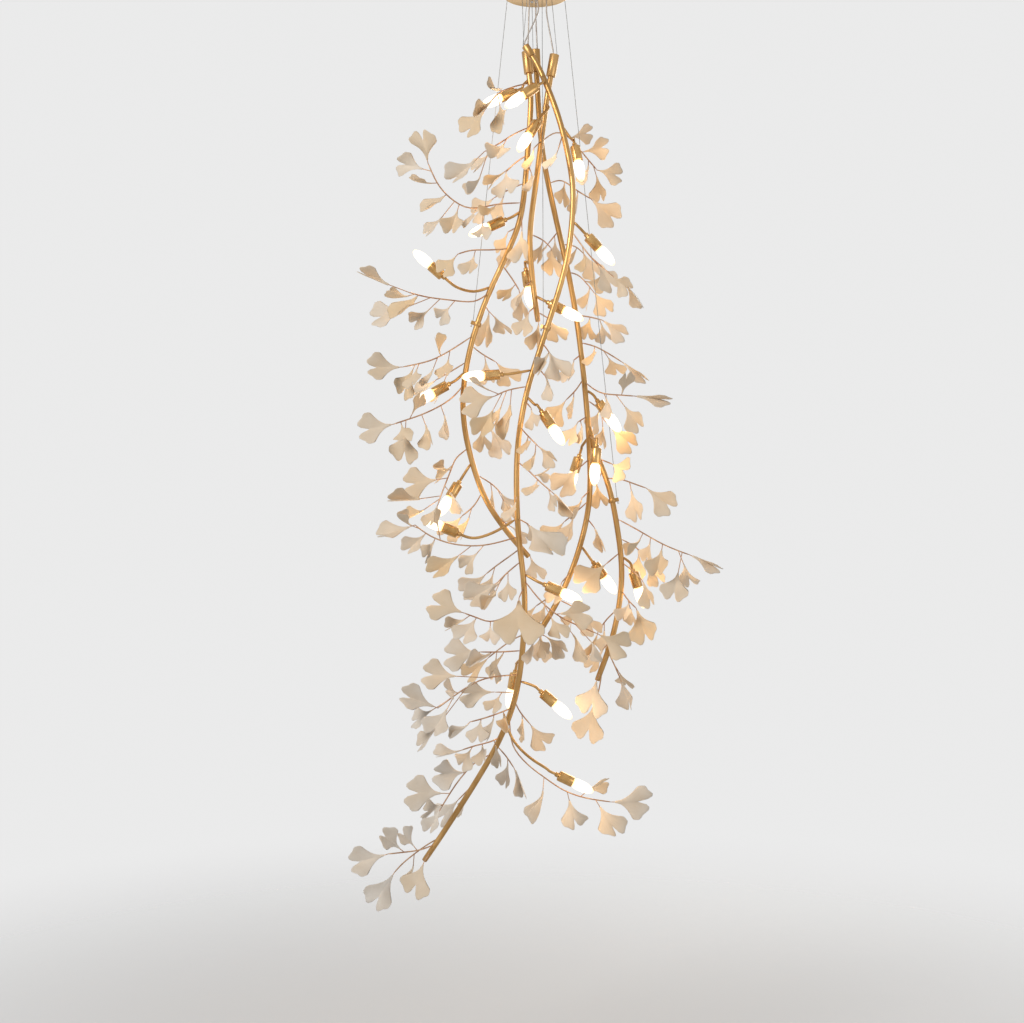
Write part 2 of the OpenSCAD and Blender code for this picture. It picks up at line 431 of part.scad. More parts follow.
module plate_hole(x, y, d) {
    translate([x, y, -plate_t - 1]) cylinder(d = d, h = plate_t + 2);
}
module ceiling_plate() {
    color(steel) difference() {
        union() {
            translate([-tab_x, -plate_w / 2, -plate_t]) cube([2 * tab_x, plate_w, plate_t]);
            for (s = [-1, 1]) translate([s > 0 ? tab_x - plate_t : -tab_x, -plate_w / 2, -tab_h])
                cube([plate_t, plate_w, tab_h]);
        }
        for (s = [-1, 1]) plate_hole(s * screw_pitch / 2, 0, screw_hole_d);
        plate_hole(0, plate_w / 2 - 7, supply_hole_d);
        translate([-canopy_r, 0, side_screw_z]) rotate([0, 90, 0])
            cylinder(d = side_screw_d + gap, h = canopy_d);
    }
}
module canopy_hole(x, y, d) {
    translate([x, y, -canopy_h - 1]) cylinder(d = d + gap, h = canopy_wall + 2);
}
module canopy() {
    edge = 2;
    color(brass) difference() {
        rotate_extrude() polygon([[canopy_bore_r, 0], [canopy_bore_r, canopy_wall - canopy_h],
            [0, canopy_wall - canopy_h], [0, -canopy_h], [canopy_r - edge, -canopy_h],
            [canopy_r - 0.3 * edge, 0.3 * edge - canopy_h], [canopy_r, edge - canopy_h], [canopy_r, 0]]);
        for (p = CORD_EXITS) canopy_hole(p[0], p[1], gland_d);
        for (p = HEAD_WIRES) canopy_hole(p[1], p[2], nozzle_d);
        for (p = CLAMP_WIRES) canopy_hole(p[0], p[1], nozzle_d);
        translate([-canopy_r - 1, 0, side_screw_z]) rotate([0, 90, 0])
            cylinder(d = side_screw_d + 2 * gap, h = canopy_d + 2);
    }
}
module canopy_screws() {
    shank_l = canopy_r - tab_x + plate_t + 3;
    color(brass) for (s = [0, 180]) rotate([0, 0, s]) translate([canopy_r + gap / 2, 0, side_screw_z]) {
        rotate([0, 90, 0]) cylinder(d = side_head_d, h = side_head_l);
        translate([-shank_l, 0, 0]) rotate([0, 90, 0]) cylinder(d = side_screw_d, h = shank_l + 1);
    }
}
module terminal_block() {
    block = [34, 20, 15];
    pole = 10;
    color("#d8d8d4") translate([0, -2, -plate_t - block.z]) difference() {
        translate([-block.x / 2, -block.y / 2, 0]) cube(block);
        for (k = [-1:1]) {
            translate([k * pole, -block.y, block.z * 0.55]) rotate([-90, 0, 0])
                cylinder(d = 4, h = 2 * block.y);
            for (s = [-1, 1]) translate([k * pole, s * block.y / 4, -1]) cylinder(d = 4.6, h = block.z * 0.5);
        }
    }
}
module cord_glands() {
    color("#e6e3da") for (p = CORD_EXITS) translate([p[0], p[1], -canopy_h]) difference() {
        union() {
            translate([0, 0, canopy_wall]) cylinder(d = gland_flange_d, h = gland_flange_t);
            translate([0, 0, -1]) cylinder(d = gland_d, h = canopy_wall + 2);
            translate([0, 0, -gland_nose_l])
                cylinder(d1 = cord_d + 2 * gland_lip, d2 = gland_d, h = gland_nose_l - 1);
        }
        translate([0, 0, -gland_nose_l - 1])
            cylinder(d = cord_d + gap, h = gland_nose_l + canopy_wall + gland_flange_t + 3);
    }
}
module gripper(p) {
    translate([p[0], p[1], -canopy_h]) difference() {
        union() {
            translate([0, 0, canopy_wall]) cylinder(d = gripper_flange_d, h = gripper_flange_t);
            translate([0, 0, canopy_wall + 1]) cylinder(d = gripper_d, h = gripper_l - 1);
            translate([0, 0, -nozzle_l]) cylinder(d = nozzle_d, h = nozzle_l + canopy_wall + 1);
        }
        translate([0, 0, -nozzle_l - 1])
            cylinder(d = wire_d + gap, h = gripper_l + nozzle_l + canopy_wall + 3);
    }
}
module wire_grippers() {
    color(steel) {
        for (w = HEAD_WIRES) gripper([w[1], w[2]]);
        for (w = CLAMP_WIRES) gripper([w[0], w[1]]);
    }
}
module wire(x, y, entry, foot) {
    rod([[x, y, -canopy_h + gripper_l - 2], [x, y, -canopy_h - nozzle_l - 1], entry, foot], wire_d, 6);
}
module suspension_wires() {
    color(steel) {
        for (w = HEAD_WIRES) wire(w[1], w[2], head_point(w[0], -HEADS[w[0]][3], wire_lead),
            head_point(w[0], -HEADS[w[0]][3], -disc_t - stop_l));
        for (w = CLAMP_WIRES) wire(w[0], w[1], clamp_point(w, lug_x, clamp_h / 2 + wire_lead),
            clamp_point(w, lug_x, -clamp_h / 2 - stop_l));
    }
}
module wire_clamps() {
    color(brass) for (w = CLAMP_WIRES) aim(clamp_point(w, 0, 0), clamp_axis(w), w[4]) difference() {
        union() {
            cylinder(d = stem_d + 2 * clamp_rim, h = clamp_h, center = true);
            translate([stem_d / 2 + 1, -lug_l / 2, -clamp_h / 2])
                cube([lug_x - stem_d / 2 + 1.5, lug_l, clamp_h]);
        }
        cylinder(d = stem_d + 2 * gap, h = clamp_h + 2, center = true);
        translate([lug_x, 0, 0]) cylinder(d = wire_d + 4 * gap, h = clamp_h + 2, center = true);
    }
}
module wire_stop(p, h) {
    aim(p, h, [1, 0, 0]) translate([0, 0, -stop_l]) difference() {
        cylinder(d = stop_d, h = stop_l);
        translate([0, 0, -1]) cylinder(d = wire_d + gap / 2, h = stop_l + 2);
    }
}
module wire_stops() {
    color(steel) {
        for (w = HEAD_WIRES) wire_stop(head_point(w[0], -HEADS[w[0]][3], -disc_t), head_axis(w[0]));
        for (w = CLAMP_WIRES) wire_stop(clamp_point(w, lug_x, -clamp_h / 2), clamp_axis(w));
    }
}
module power_cords() {
    exit_z = -canopy_h - gland_nose_l;
    heights = [-canopy_h + cord_slack, exit_z - 1, exit_z - cord_lead];
    color("#d9d2c4") for (k = [0:3]) {
        top = [for (z = heights) [CORD_EXITS[k].x, CORD_EXITS[k].y, z]];
        end = [for (up = [8, 1, -disc_t - cord_tail]) head_point(k, HEADS[k][3], up)];
        rod(curve(concat(top, cord_bends[k], end), 3), cord_d, 8);
    }
}
module stem_cap(k, d, l, offset) {
    aim(HEADS[k][0][0], head_axis(k), [1, 0, 0]) translate([0, 0, -cap_seat]) difference() {
        cylinder(d = d, h = l);
        translate([0, 0, disc_t]) cylinder(d = d - 2 * cap_wall, h = l - 2 * disc_t);
        translate([0, 0, -1]) cylinder(d = stem_d + 2 * gap, h = disc_t + 2);
        translate([offset, 0, l - disc_t - 1]) cylinder(d = cord_d + 2 * gap, h = disc_t + 2);
        translate([-offset, 0, l - disc_t - 1]) cylinder(d = wire_d + 2 * gap, h = disc_t + 2);
    }
}
module stem_caps() {
    color(brass) for (k = [0:3]) stem_cap(k, HEADS[k][1], HEADS[k][2], HEADS[k][3]);
}
module stem(path) { color(brass) pipe(path, stem_d, stem_d - 2 * stem_wall, 8); }
module front_stem() { stem(front_curve); }
module left_stem() { stem(left_curve); }
module middle_stem() { stem(middle_curve); }
module right_stem() { stem(right_curve); }
// The branch stem starts in the wall of the right stem, where it is brazed on
module lower_branch() {
    h = unit(branch_curve[1] - branch_curve[0]);
    rest = [for (k = [1:len(branch_curve) - 1]) branch_curve[k]];
    stem(concat([branch_curve[0] + h * (stem_d / 2 - braze_depth)], rest));
}

// A twig starts in its stem's wall
function twig_root(s, t) = on_stem(curves[s], t[0]);
function twig_curve(s, t) = let(root = twig_root(s, t), first = place(t[1][0]))
    curve(concat([root + unit(first - root) * (stem_d / 2 - braze_depth)], [for (p = t[1]) place(p)]), 2);
function along(path, share) = let(f = share * (len(path) - 1), i = min(len(path) - 2, floor(f)))
    path[i] + (path[i + 1] - path[i]) * (f - i);
module twigs(s) {
    color(brass) for (t = plans[s]) rod(twig_curve(s, t), twig_d, 5);
}
module front_twigs() { twigs(FRONT); }
module left_twigs() { twigs(LEFT); }
module middle_twigs() { twigs(MIDDLE); }
module right_twigs() { twigs(RIGHT); }
module branch_twigs() { twigs(BRANCH); }

// A leaf's own frame: its neck starts at the origin and its blade spreads along +X
neck_d = stalk_d + 2.4;
function neck_l(w) = 4 + 0.36 * w;
function blade_middle(w) = neck_l(w) + 0.42 * w;
function leaf_root(s, t, l) = along(twig_curve(s, t), l[0]);
function leaf_way(s, t, l) = place([l[1], l[2], l[3]]) - leaf_root(s, t, l);
function stalk_start(l) = l[0] == 1 ? -1 : twig_d / 2 - 0.4;
function stalk_end(s, t, l) = max(stalk_min, norm(leaf_way(s, t, l)) - blade_middle(l[4]));
// One half of the blade, from its root along the side, round the lobe and into the notch
LOBE = [[42, 0.7], [32, 0.8], [12, 0.79], [3, 0.62]];
function half_blade(w) = concat([[-1, -0.5], [0.32 * w, 0.14 * w]],
    [for (p = LOBE) p[1] * w * [cos(p[0]), sin(p[0])]], [[0.58 * w, -0.5]]);
module leaf(w) {
    difference() {
        union() {
            for (side = [0, 1]) mirror([0, side, 0]) translate([neck_l(w), 0, 0]) rotate([leaf_fold, 0, 0])
                translate([0, 0, -leaf_t / 2]) linear_extrude(leaf_t) polygon(half_blade(w));
            rotate([0, 90, 0]) cylinder(d1 = neck_d, d2 = leaf_t + 1, h = neck_l(w));
        }
        translate([-1, 0, 0]) rotate([0, 90, 0]) cylinder(d = stalk_d + gap, h = stalk_seat + 1 + gap);
    }
}
module in_leaf_frame(p, h, turn) {
    facing = side_of(abs(h.y) < 0.95 ? [0, -1, 0] : [0, 0, 1], h);
    normal = cos(turn) * facing + sin(turn) * cross(h, facing);
    across = cross(normal, h);
    multmatrix([[h.x, across.x, normal.x, p.x], [h.y, across.y, normal.y, p.y],
        [h.z, across.z, normal.z, p.z], [0, 0, 0, 1]]) children();
}
module leaves(s) {
    color(porcelain) for (t = plans[s], l = t[2]) {
        h = unit(leaf_way(s, t, l));
        in_leaf_frame(leaf_root(s, t, l) + h * stalk_end(s, t, l), h, l[5]) leaf(l[4]);
    }
}
module front_leaves() { leaves(FRONT); }
module left_leaves() { leaves(LEFT); }
module middle_leaves() { leaves(MIDDLE); }
module right_leaves() { leaves(RIGHT); }
module branch_leaves() { leaves(BRANCH); }
module leaf_stalks() {
    color(brass) for (s = [FRONT:BRANCH], t = plans[s], l = t[2]) {
        h = unit(leaf_way(s, t, l));
        aim(leaf_root(s, t, l) + h * stalk_start(l), h, [0, 1, 0])
            cylinder(d = stalk_d, h = stalk_end(s, t, l) + stalk_seat - stalk_start(l));
    }
}

// A lamp's own frame: the cup's back end is at the origin and the lamp points along +Z
function lamp_axis(k) = unit(place(LAMPS[k][4]) - place(LAMPS[k][3]));
function lamp_back(k) = place(LAMPS[k][3]) - lamp_axis(k) * cup_l / 2;
function arm_points(k) = let(root = on_stem(curves[LAMPS[k][0]], LAMPS[k][1]), back = lamp_back(k),
    rest = concat([for (p = LAMPS[k][2]) place(p)],
        [for (out = [-arm_lead, -3, socket_l - gap]) back + lamp_axis(k) * out]))
    concat([root + unit(rest[0] - root) * (stem_d / 2 - braze_depth)], rest);
module in_lamp_frame(k) { aim(lamp_back(k), lamp_axis(k), [0, 1, 0]) children(); }
module lamp_arms() {
    color(brass) for (k = [0:len(LAMPS) - 1]) rod(curve(arm_points(k), 2), arm_d, 6);
}
module lamp_cups() {
    neck_r = arm_d / 2 + 2;
    color(brass) for (k = [0:len(LAMPS) - 1]) in_lamp_frame(k) difference() {
        rotate_extrude() polygon([[0, 0], [neck_r, 0], [neck_r, socket_l - 2], [cup_d / 2 - 1, socket_l],
            [cup_d / 2, socket_l + 1], [cup_d / 2, cup_l], [0, cup_l]]);
        translate([0, 0, cup_floor]) cylinder(d = cup_bore, h = cup_l);
        translate([0, 0, -1]) cylinder(d = arm_d + 2 * gap, h = socket_l + 1);
        cylinder(d = lead_hole_d, h = cup_l);
    }
}
module lamp_holders() {
    color("#e9e6df") for (k = [0:len(LAMPS) - 1]) in_lamp_frame(k) translate([0, 0, cup_floor]) difference() {
        cylinder(d = cup_bore - 2 * gap, h = holder_l);
        translate([0, 0, holder_l - base_seat]) cylinder(d = base_d + 2 * gap, h = base_seat + 1);
        for (s = [-1, 1]) translate([s * pin_pitch / 2, 0, -1])
            cylinder(d = pin_d + 2 * gap, h = holder_l + 2);
    }
}
function bulb_r(t) = t < 0.25 ? base_d / 2 + (bulb_d - base_d) / 2 * sin(360 * t)
    : t < 0.5 ? bulb_d / 2 : bulb_d / 2 * sqrt(1 - pow(2 * t - 1, 2));
module bulb(k) {
    seat_z = cup_floor + holder_l - base_seat + gap;
    glass_z = cup_l + 1;
    steps = 12;
    glass = [for (i = [0:steps - 1]) [bulb_r(i / steps), glass_z + bulb_l * i / steps]];
    color("white") in_lamp_frame(k) union() {
        rotate_extrude() polygon(concat([[0, seat_z], [base_d / 2, seat_z]], glass, [[0, glass_z + bulb_l]]));
        for (s = [-1, 1]) translate([s * pin_pitch / 2, 0, seat_z - pin_l])
            cylinder(d = pin_d, h = pin_l + 1);
    }
}

ceiling_plate();
canopy();
canopy_screws();
terminal_block();
cord_glands();
wire_grippers();
suspension_wires();
wire_clamps();
wire_stops();
power_cords();
stem_caps();
front_stem();
left_stem();
middle_stem();
right_stem();
lower_branch();
front_twigs();
left_twigs();
middle_twigs();
right_twigs();
branch_twigs();
front_leaves();
left_leaves();
middle_leaves();
right_leaves();
branch_leaves();
leaf_stalks();
lamp_arms();
lamp_cups();
lamp_holders();
bulb(0);  // bulb_01
bulb(1);  // bulb_02
bulb(2);  // bulb_03
bulb(3);  // bulb_04
bulb(4);  // bulb_05
bulb(5);  // bulb_06
bulb(6);  // bulb_07
bulb(7);  // bulb_08
bulb(8);  // bulb_09
bulb(9);  // bulb_10
bulb(10);  // bulb_11
bulb(11);  // bulb_12
bulb(12);  // bulb_13
bulb(13);  // bulb_14
bulb(14);  // bulb_15
bulb(15);  // bulb_16
bulb(16);  // bulb_17
bulb(17);  // bulb_18
bulb(18);  // bulb_19
bulb(19);  // bulb_20
bulb(20);  // bulb_21
bulb(21);  // bulb_22
bulb(22);  // bulb_23
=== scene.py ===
"""A cascading chandelier: brass stems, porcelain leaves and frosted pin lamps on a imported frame."""

import json
import logging
import math
from dataclasses import dataclass
from enum import Enum
from functools import cached_property

import bpy
from mathutils import Matrix, Vector


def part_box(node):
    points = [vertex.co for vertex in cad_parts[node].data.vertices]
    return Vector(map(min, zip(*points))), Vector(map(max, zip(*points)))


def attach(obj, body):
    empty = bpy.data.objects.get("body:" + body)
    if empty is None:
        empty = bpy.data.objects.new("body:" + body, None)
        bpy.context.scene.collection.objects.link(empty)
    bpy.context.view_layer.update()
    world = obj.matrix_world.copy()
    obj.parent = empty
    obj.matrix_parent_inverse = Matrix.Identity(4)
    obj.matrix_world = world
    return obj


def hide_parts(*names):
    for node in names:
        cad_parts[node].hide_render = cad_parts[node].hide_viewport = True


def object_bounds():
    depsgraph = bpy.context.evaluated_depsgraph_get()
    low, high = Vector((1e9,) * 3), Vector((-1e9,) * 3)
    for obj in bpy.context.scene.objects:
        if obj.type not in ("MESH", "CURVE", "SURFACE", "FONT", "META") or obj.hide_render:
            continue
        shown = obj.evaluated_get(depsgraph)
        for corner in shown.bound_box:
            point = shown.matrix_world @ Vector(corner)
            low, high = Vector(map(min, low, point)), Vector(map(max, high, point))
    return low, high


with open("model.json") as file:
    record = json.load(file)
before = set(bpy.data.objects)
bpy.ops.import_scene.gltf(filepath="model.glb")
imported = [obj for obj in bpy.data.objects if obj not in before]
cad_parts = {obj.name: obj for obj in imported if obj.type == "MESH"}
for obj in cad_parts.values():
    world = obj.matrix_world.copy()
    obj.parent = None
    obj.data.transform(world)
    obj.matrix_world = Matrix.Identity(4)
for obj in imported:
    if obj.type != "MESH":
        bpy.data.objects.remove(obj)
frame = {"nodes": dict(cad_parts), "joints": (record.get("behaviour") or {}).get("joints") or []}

CAD_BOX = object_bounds()
LOG = logging.getLogger("chandelier")
FIXED = "chandelier"
LAMP_COUNT = 23
MM = 0.001
# Points closer than this, in metres, are merged.
SAME_PLACE = 1e-6
# Steps per metre in which the corners of a CAD node's loose triangles are matched.
GRID = 1e7
# The colour sockets of a Mix node.
MIX_A, MIX_B, MIX_RESULT = 6, 7, 2

Point = tuple[float, float, float]
Point2 = tuple[float, float]
Profile = tuple[Point2, ...]
Route = tuple[Point, ...]
Colour = tuple[float, float, float, float]
Link = tuple[bpy.types.Node, str | int, bpy.types.Node, str | int]


class Cluster(Enum):
    """The five sprays of the chandelier."""

    FRONT = "front"
    LEFT = "left"
    MIDDLE = "middle"
    RIGHT = "right"
    BRANCH = "branch"

    @property
    def stem(self) -> str:
        """Name of the node that holds this spray's tube."""
        return "lower_branch" if self is Cluster.BRANCH else f"{self.value}_stem"


class Lay(Enum):
    """How a cord or wire lies."""

    HANGING = "hanging"
    TAUT = "taut"

    @property
    def stiffness(self) -> str:
        """How stiff such a line is: hanging cords are medium and taut wires stiff."""
        return "medium" if self is Lay.HANGING else "stiff"


# ---------------------------------------------------------------- modelling helpers


def pick(obj: bpy.types.Object) -> None:
    """Makes obj the only selected and the active object.

    Args:
        obj: The object to pick.
    """
    bpy.ops.object.select_all(action="DESELECT")
    obj.hide_viewport = False
    obj.select_set(True)
    bpy.context.view_layer.objects.active = obj


def disc(name: str, radius: float, height: float, sides: int) -> bpy.types.Object:
    """Adds a level disc round the Z axis, with its place in its mesh.

    Args:
        name: Name of the disc.
        radius: Its radius, in metres.
        height: Its height, in metres.
        sides: Number of points round it.

    Returns:
        The disc.
    """
    bpy.ops.object.select_all(action="DESELECT")
    bpy.ops.mesh.primitive_circle_add(
        vertices=sides, radius=radius, location=(0, 0, height), fill_type="NGON"
    )
    obj = bpy.context.object
    obj.name = name
    bpy.ops.object.transform_apply(location=True, rotation=True, scale=True)
    return obj


def turned(name: str, profile: list[Point2], sides: int) -> bpy.types.Object:
    """Raises a round shape ring by ring along +Z.

    Args:
        name: Name of the new object.
        profile: Radius and height of each ring, in metres.
        sides: Number of points round each ring.

    Returns:
        The closed object, with its place in its mesh.
    """
    radius, height = profile[0]
    obj = disc(name, radius, height, sides)
    bpy.ops.object.mode_set(mode="EDIT")
    bpy.ops.mesh.select_all(action="SELECT")
    for next_radius, next_height in profile[1:]:
        move = {"value": (0, 0, next_height - height)}
        bpy.ops.mesh.extrude_region_move(TRANSFORM_OT_translate=move)
        scale = next_radius / radius
        bpy.ops.transform.resize(value=(scale, scale, 1), center_override=(0, 0, next_height))
        radius, height = next_radius, next_height
    bpy.ops.mesh.select_all(action="SELECT")
    bpy.ops.mesh.remove_doubles(threshold=SAME_PLACE)
    bpy.ops.mesh.normals_make_consistent(inside=False)
    bpy.ops.object.mode_set(mode="OBJECT")
    return obj


def copied(obj: bpy.types.Object, name: str, place: Matrix) -> bpy.types.Object:
    """Copies an object with its own mesh and bakes a place into it.

    Args:
        obj: The object to copy.
        name: Name of the copy.
        place: Where the copy goes.

    Returns:
        The copy, at the origin.
    """
    new = obj.copy()
    new.data = obj.data.copy()
    new.name = name
    new.data.transform(place)
    bpy.context.scene.collection.objects.link(new)
    return new


def joined(name: str, parts: list[bpy.types.Object]) -> bpy.types.Object:
    """Joins objects that stand at the origin into one.

    Args:
        name: Name of the result.
        parts: The objects; the others become part of the first.

    Returns:
        The joined object.
    """
    pick(parts[0])
    for part in parts[1:]:
        part.select_set(True)
    bpy.ops.object.join()
    parts[0].name = name
    parts[0].data.name = name
    return parts[0]


def discard(obj: bpy.types.Object) -> None:
    """Removes a pattern object that has been copied."""
    bpy.data.objects.remove(obj, do_unlink=True)


def rounded(obj: bpy.types.Object, degrees: float = 35.0) -> None:
    """Shades obj smooth but keeps its edges above an angle sharp.

    Args:
        obj: The object to shade.
        degrees: Edges that turn further than this stay sharp.
    """
    pick(obj)
    bpy.ops.object.shade_smooth_by_angle(angle=math.radians(degrees))


def settled(obj: bpy.types.Object, body: str, node: str) -> None:
    """Attaches a piece to the body it rides on and hides the CAD node it stands for.

    Args:
        obj: The piece.
        body: The CAD body.
        node: The CAD node.
    """
    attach(obj, body)
    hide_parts(node)


def aimed(origin: Vector, axis: Vector, side: Vector) -> Matrix:
    """Gives the place of a piece modelled along +Z.

    Args:
        origin: Where the piece's own origin goes.
        axis: Where its +Z points.
        side: Roughly where its +X points.

    Returns:
        The piece's matrix.
    """
    z = axis.normalized()
    x = (side - side.dot(z) * z).normalized()
    y = z.cross(x)
    turn = Matrix((x, y, z)).transposed().to_4x4()
    return Matrix.Translation(origin) @ turn


def solids_of(node: str) -> list[list[Vector]]:
    """Sorts the points of a CAD node into its separate solids.

    Args:
        node: Name of the node.

    Returns:
        One list of points for each solid, from the highest solid to the lowest.
    """
    mesh = frame["nodes"][node].data
    places: dict[tuple[int, int, int], int] = {}
    points: list[Vector] = []
    index = []
    for vertex in mesh.vertices:
        key = tuple(round(c * GRID) for c in vertex.co)
        if key not in places:
            places[key] = len(points)
            points.append(vertex.co.copy())
        index.append(places[key])
    leader = list(range(len(points)))

    def top(i: int) -> int:
        """Finds the leader of a point's group.

        Args:
            i: The point's number.

        Returns:
            The leader's number.
        """
        while leader[i] != i:
            leader[i] = leader[leader[i]]
            i = leader[i]
        return i

    for face in mesh.polygons:
        first = top(index[face.vertices[0]])
        for corner in face.vertices[1:]:
            leader[top(index[corner])] = first
    groups: dict[int, list[Vector]] = {}
    for i, point in enumerate(points):
        groups.setdefault(top(i), []).append(point)
    return sorted(groups.values(), key=lambda g: -max(p.z for p in g))


def middle_of(points: list[Vector]) -> Vector:
    """Gives the mean of some points."""
    return sum(points, Vector()) / len(points)


def scattered(number: int) -> float:
    """Gives a share from 0 to 1 that jumps about from one number to the next."""
    pitch, stretch = 12.9898, 43758.5453
    return (math.sin(number * pitch) * stretch) % 1.0


# ---------------------------------------------------------------- finishes


def add_node(
    tree: bpy.types.NodeTree,
    kind: str,
    values: dict[str | int, float | Point | Colour] | None = None,
    **settings: str,
) -> bpy.types.Node:
    """Adds a shader node to a tree.

    Args:
        tree: The tree.
        kind: The node's type, without its leading ShaderNode.
        values: Values of its input sockets, by name or number.
        **settings: The node's own settings, such as its operation.

    Returns:
        The new node.
    """
    node = tree.nodes.new(f"ShaderNode{kind}")
    for name, setting in settings.items():
        setattr(node, name, setting)
    for socket, value in (values or {}).items():
        node.inputs[socket].default_value = value
    return node


def link(tree: bpy.types.NodeTree, *rows: Link) -> None:
    """Links nodes in a tree.

    Args:
        tree: The tree.
        *rows: For each link a node, its output, a node and its input, by name or number.
    """
    for source, output, target, socket in rows:
        tree.links.new(source.outputs[output], target.inputs[socket])


def grain_group() -> bpy.types.NodeTree:
    """Builds the shared surface grain: slow drifts of colour, fine roughness and a fine height.

    Returns:
        The node group, made once.
    """
    known = bpy.data.node_groups.get("surface_grain")
    if known:
        return known
    tree = bpy.data.node_groups.new("surface_grain", "ShaderNodeTree")
    taken = {
        "Vector": "Vector", "Low": "Color", "High": "Color", "Drift": "Float", "Fine": "Float",
        "Smooth": "Float", "Rough": "Float",
    }
    given = {"Color": "Color", "Roughness": "Float", "Height": "Float"}
    for way, sockets in (("INPUT", taken), ("OUTPUT", given)):
        for name, kind in sockets.items():
            tree.interface.new_socket(name=name, in_out=way, socket_type=f"NodeSocket{kind}")
    inside, outside = tree.nodes.new("NodeGroupInput"), tree.nodes.new("NodeGroupOutput")
    drift = add_node(tree, "TexNoise", {"Detail": 3})
    fine = add_node(tree, "TexNoise", {"Detail": 4, "Roughness": 0.65})
    spread = add_node(tree, "MapRange", {"From Min": 0.35, "From Max": 0.65})
    blend = add_node(tree, "Mix", data_type="RGBA")
    rough = add_node(tree, "MapRange", {"From Min": 0.3, "From Max": 0.7})
    link(
        tree, (inside, "Vector", drift, "Vector"), (inside, "Vector", fine, "Vector"),
        (inside, "Drift", drift, "Scale"), (inside, "Fine", fine, "Scale"),
        (drift, "Fac", spread, "Value"), (spread, "Result", blend, "Factor"),
        (inside, "Low", blend, MIX_A), (inside, "High", blend, MIX_B),
        (blend, MIX_RESULT, outside, "Color"), (fine, "Fac", rough, "Value"),
        (inside, "Smooth", rough, "To Min"), (inside, "Rough", rough, "To Max"),
        (rough, "Result", outside, "Roughness"), (fine, "Fac", outside, "Height"),
    )
    return tree


@dataclass(frozen=True)
class Finish:
    """A finish whose colour drifts between two tones, with a fine grain."""

    name: str
    low: Colour
    high: Colour
    drift: float = 20.0
    fine: float = 600.0
    stretch: Point = (1, 1, 1)
    rough: Point2 = (0.3, 0.5)
    relief: float = 0.0001
    relief_strength: float = 0.6
    metallic: float = 0.0
    coat: float = 0.0
    specular: float = 0.5

    def base(self) -> tuple[bpy.types.Material, dict[str, bpy.types.Node]]:
        """Builds the material with its shader and grain.

        Returns:
            The material, and its nodes by the names shader, grain and bump.
        """
        material = bpy.data.materials.new(self.name)
        material.use_nodes = True
        tree = material.node_tree
        shader = tree.nodes["Principled BSDF"]
        shader.inputs["Metallic"].default_value = self.metallic
        shader.inputs["Coat Weight"].default_value = self.coat
        shader.inputs["Specular IOR Level"].default_value = self.specular
        place = add_node(tree, "TexCoord")
        mapping = add_node(tree, "Mapping", {"Scale": self.stretch})
        grain = tree.nodes.new("ShaderNodeGroup")
        grain.node_tree = grain_group()
        smooth, rough = self.rough
        for socket, value in (
            ("Low", self.low), ("High", self.high), ("Drift", self.drift), ("Fine", self.fine),
            ("Smooth", smooth), ("Rough", rough),
        ):
            grain.inputs[socket].default_value = value
        bump = add_node(tree, "Bump", {"Strength": self.relief_strength, "Distance": self.relief})
        link(
            tree, (place, "Object", mapping, "Vector"), (mapping, "Vector", grain, "Vector"),
            (grain, "Color", shader, "Base Color"), (grain, "Roughness", shader, "Roughness"),
            (grain, "Height", bump, "Height"), (bump, "Normal", shader, "Normal"),
        )
        return material, {"shader": shader, "grain": grain, "bump": bump}

    def made(self) -> bpy.types.Material:
        """Makes the material."""
        return self.base()[0]

    def material(self) -> bpy.types.Material:
        """Gives the material, made once."""
        return bpy.data.materials.get(self.name) or self.made()


@dataclass(frozen=True)
class PorcelainFinish(Finish):
    """Matt bisque, creamier on some leaves than on others and warmer near the lamps with painted lamp
    glow, with fine ribs and a paler rim.
    """

    # The colour a leaf blends towards by its third share, which is partly its own cream and partly painted
    # warm glow of lamp light.
    warm: Colour = (0.86, 0.62, 0.34, 1)
    warm_most: float = 0.8
    pale: Colour = (0.90, 0.86, 0.79, 1)
    pale_most: float = 0.5
    rim_from: float = 0.86
    ribs: float = 42.0
    rib_height: float = 0.0004
    rib_strength: float = 0.12

    def made(self) -> bpy.types.Material:
        """Makes the material, which reads each point's share across, along and of creaminess and painted
        lamp glow.

        Returns:
            The material.
        """
        material, known = self.base()
        tree = material.node_tree
        shader, grain, bump = (known[name] for name in ("shader", "grain", "bump"))
        leaf = add_node(tree, "Attribute", attribute_name="leaf")
        shares = add_node(tree, "SeparateXYZ")
        # The third share, the leaf's own creaminess plus painted lamp glow, blends the grain towards the
        # warm colour.
        cream = add_node(tree, "MapRange", {"To Max": self.warm_most})
        rim = add_node(tree, "MapRange", {"From Min": self.rim_from, "To Max": self.pale_most})
        warmed = add_node(tree, "Mix", data_type="RGBA")
        warmed.inputs[MIX_B].default_value = self.warm
        paled = add_node(tree, "Mix", data_type="RGBA")
        paled.inputs[MIX_B].default_value = self.pale
        count = add_node(tree, "Math", {1: self.ribs}, operation="MULTIPLY")
        wave = add_node(tree, "Math", operation="SINE")
        soft = add_node(tree, "Bump", {"Strength": self.rib_strength, "Distance": self.rib_height})
        link(
            tree, (leaf, "Vector", shares, "Vector"), (shares, "Z", cream, "Value"),
            (cream, "Result", warmed, "Factor"), (grain, "Color", warmed, MIX_A),
            (shares, "Y", rim, "Value"), (rim, "Result", paled, "Factor"),
            (warmed, MIX_RESULT, paled, MIX_A), (paled, MIX_RESULT, shader, "Base Color"),
            (shares, "X", count, 0), (count, "Value", wave, 0), (wave, "Value", soft, "Height"),
            (soft, "Normal", bump, "Normal"),
        )
        return material


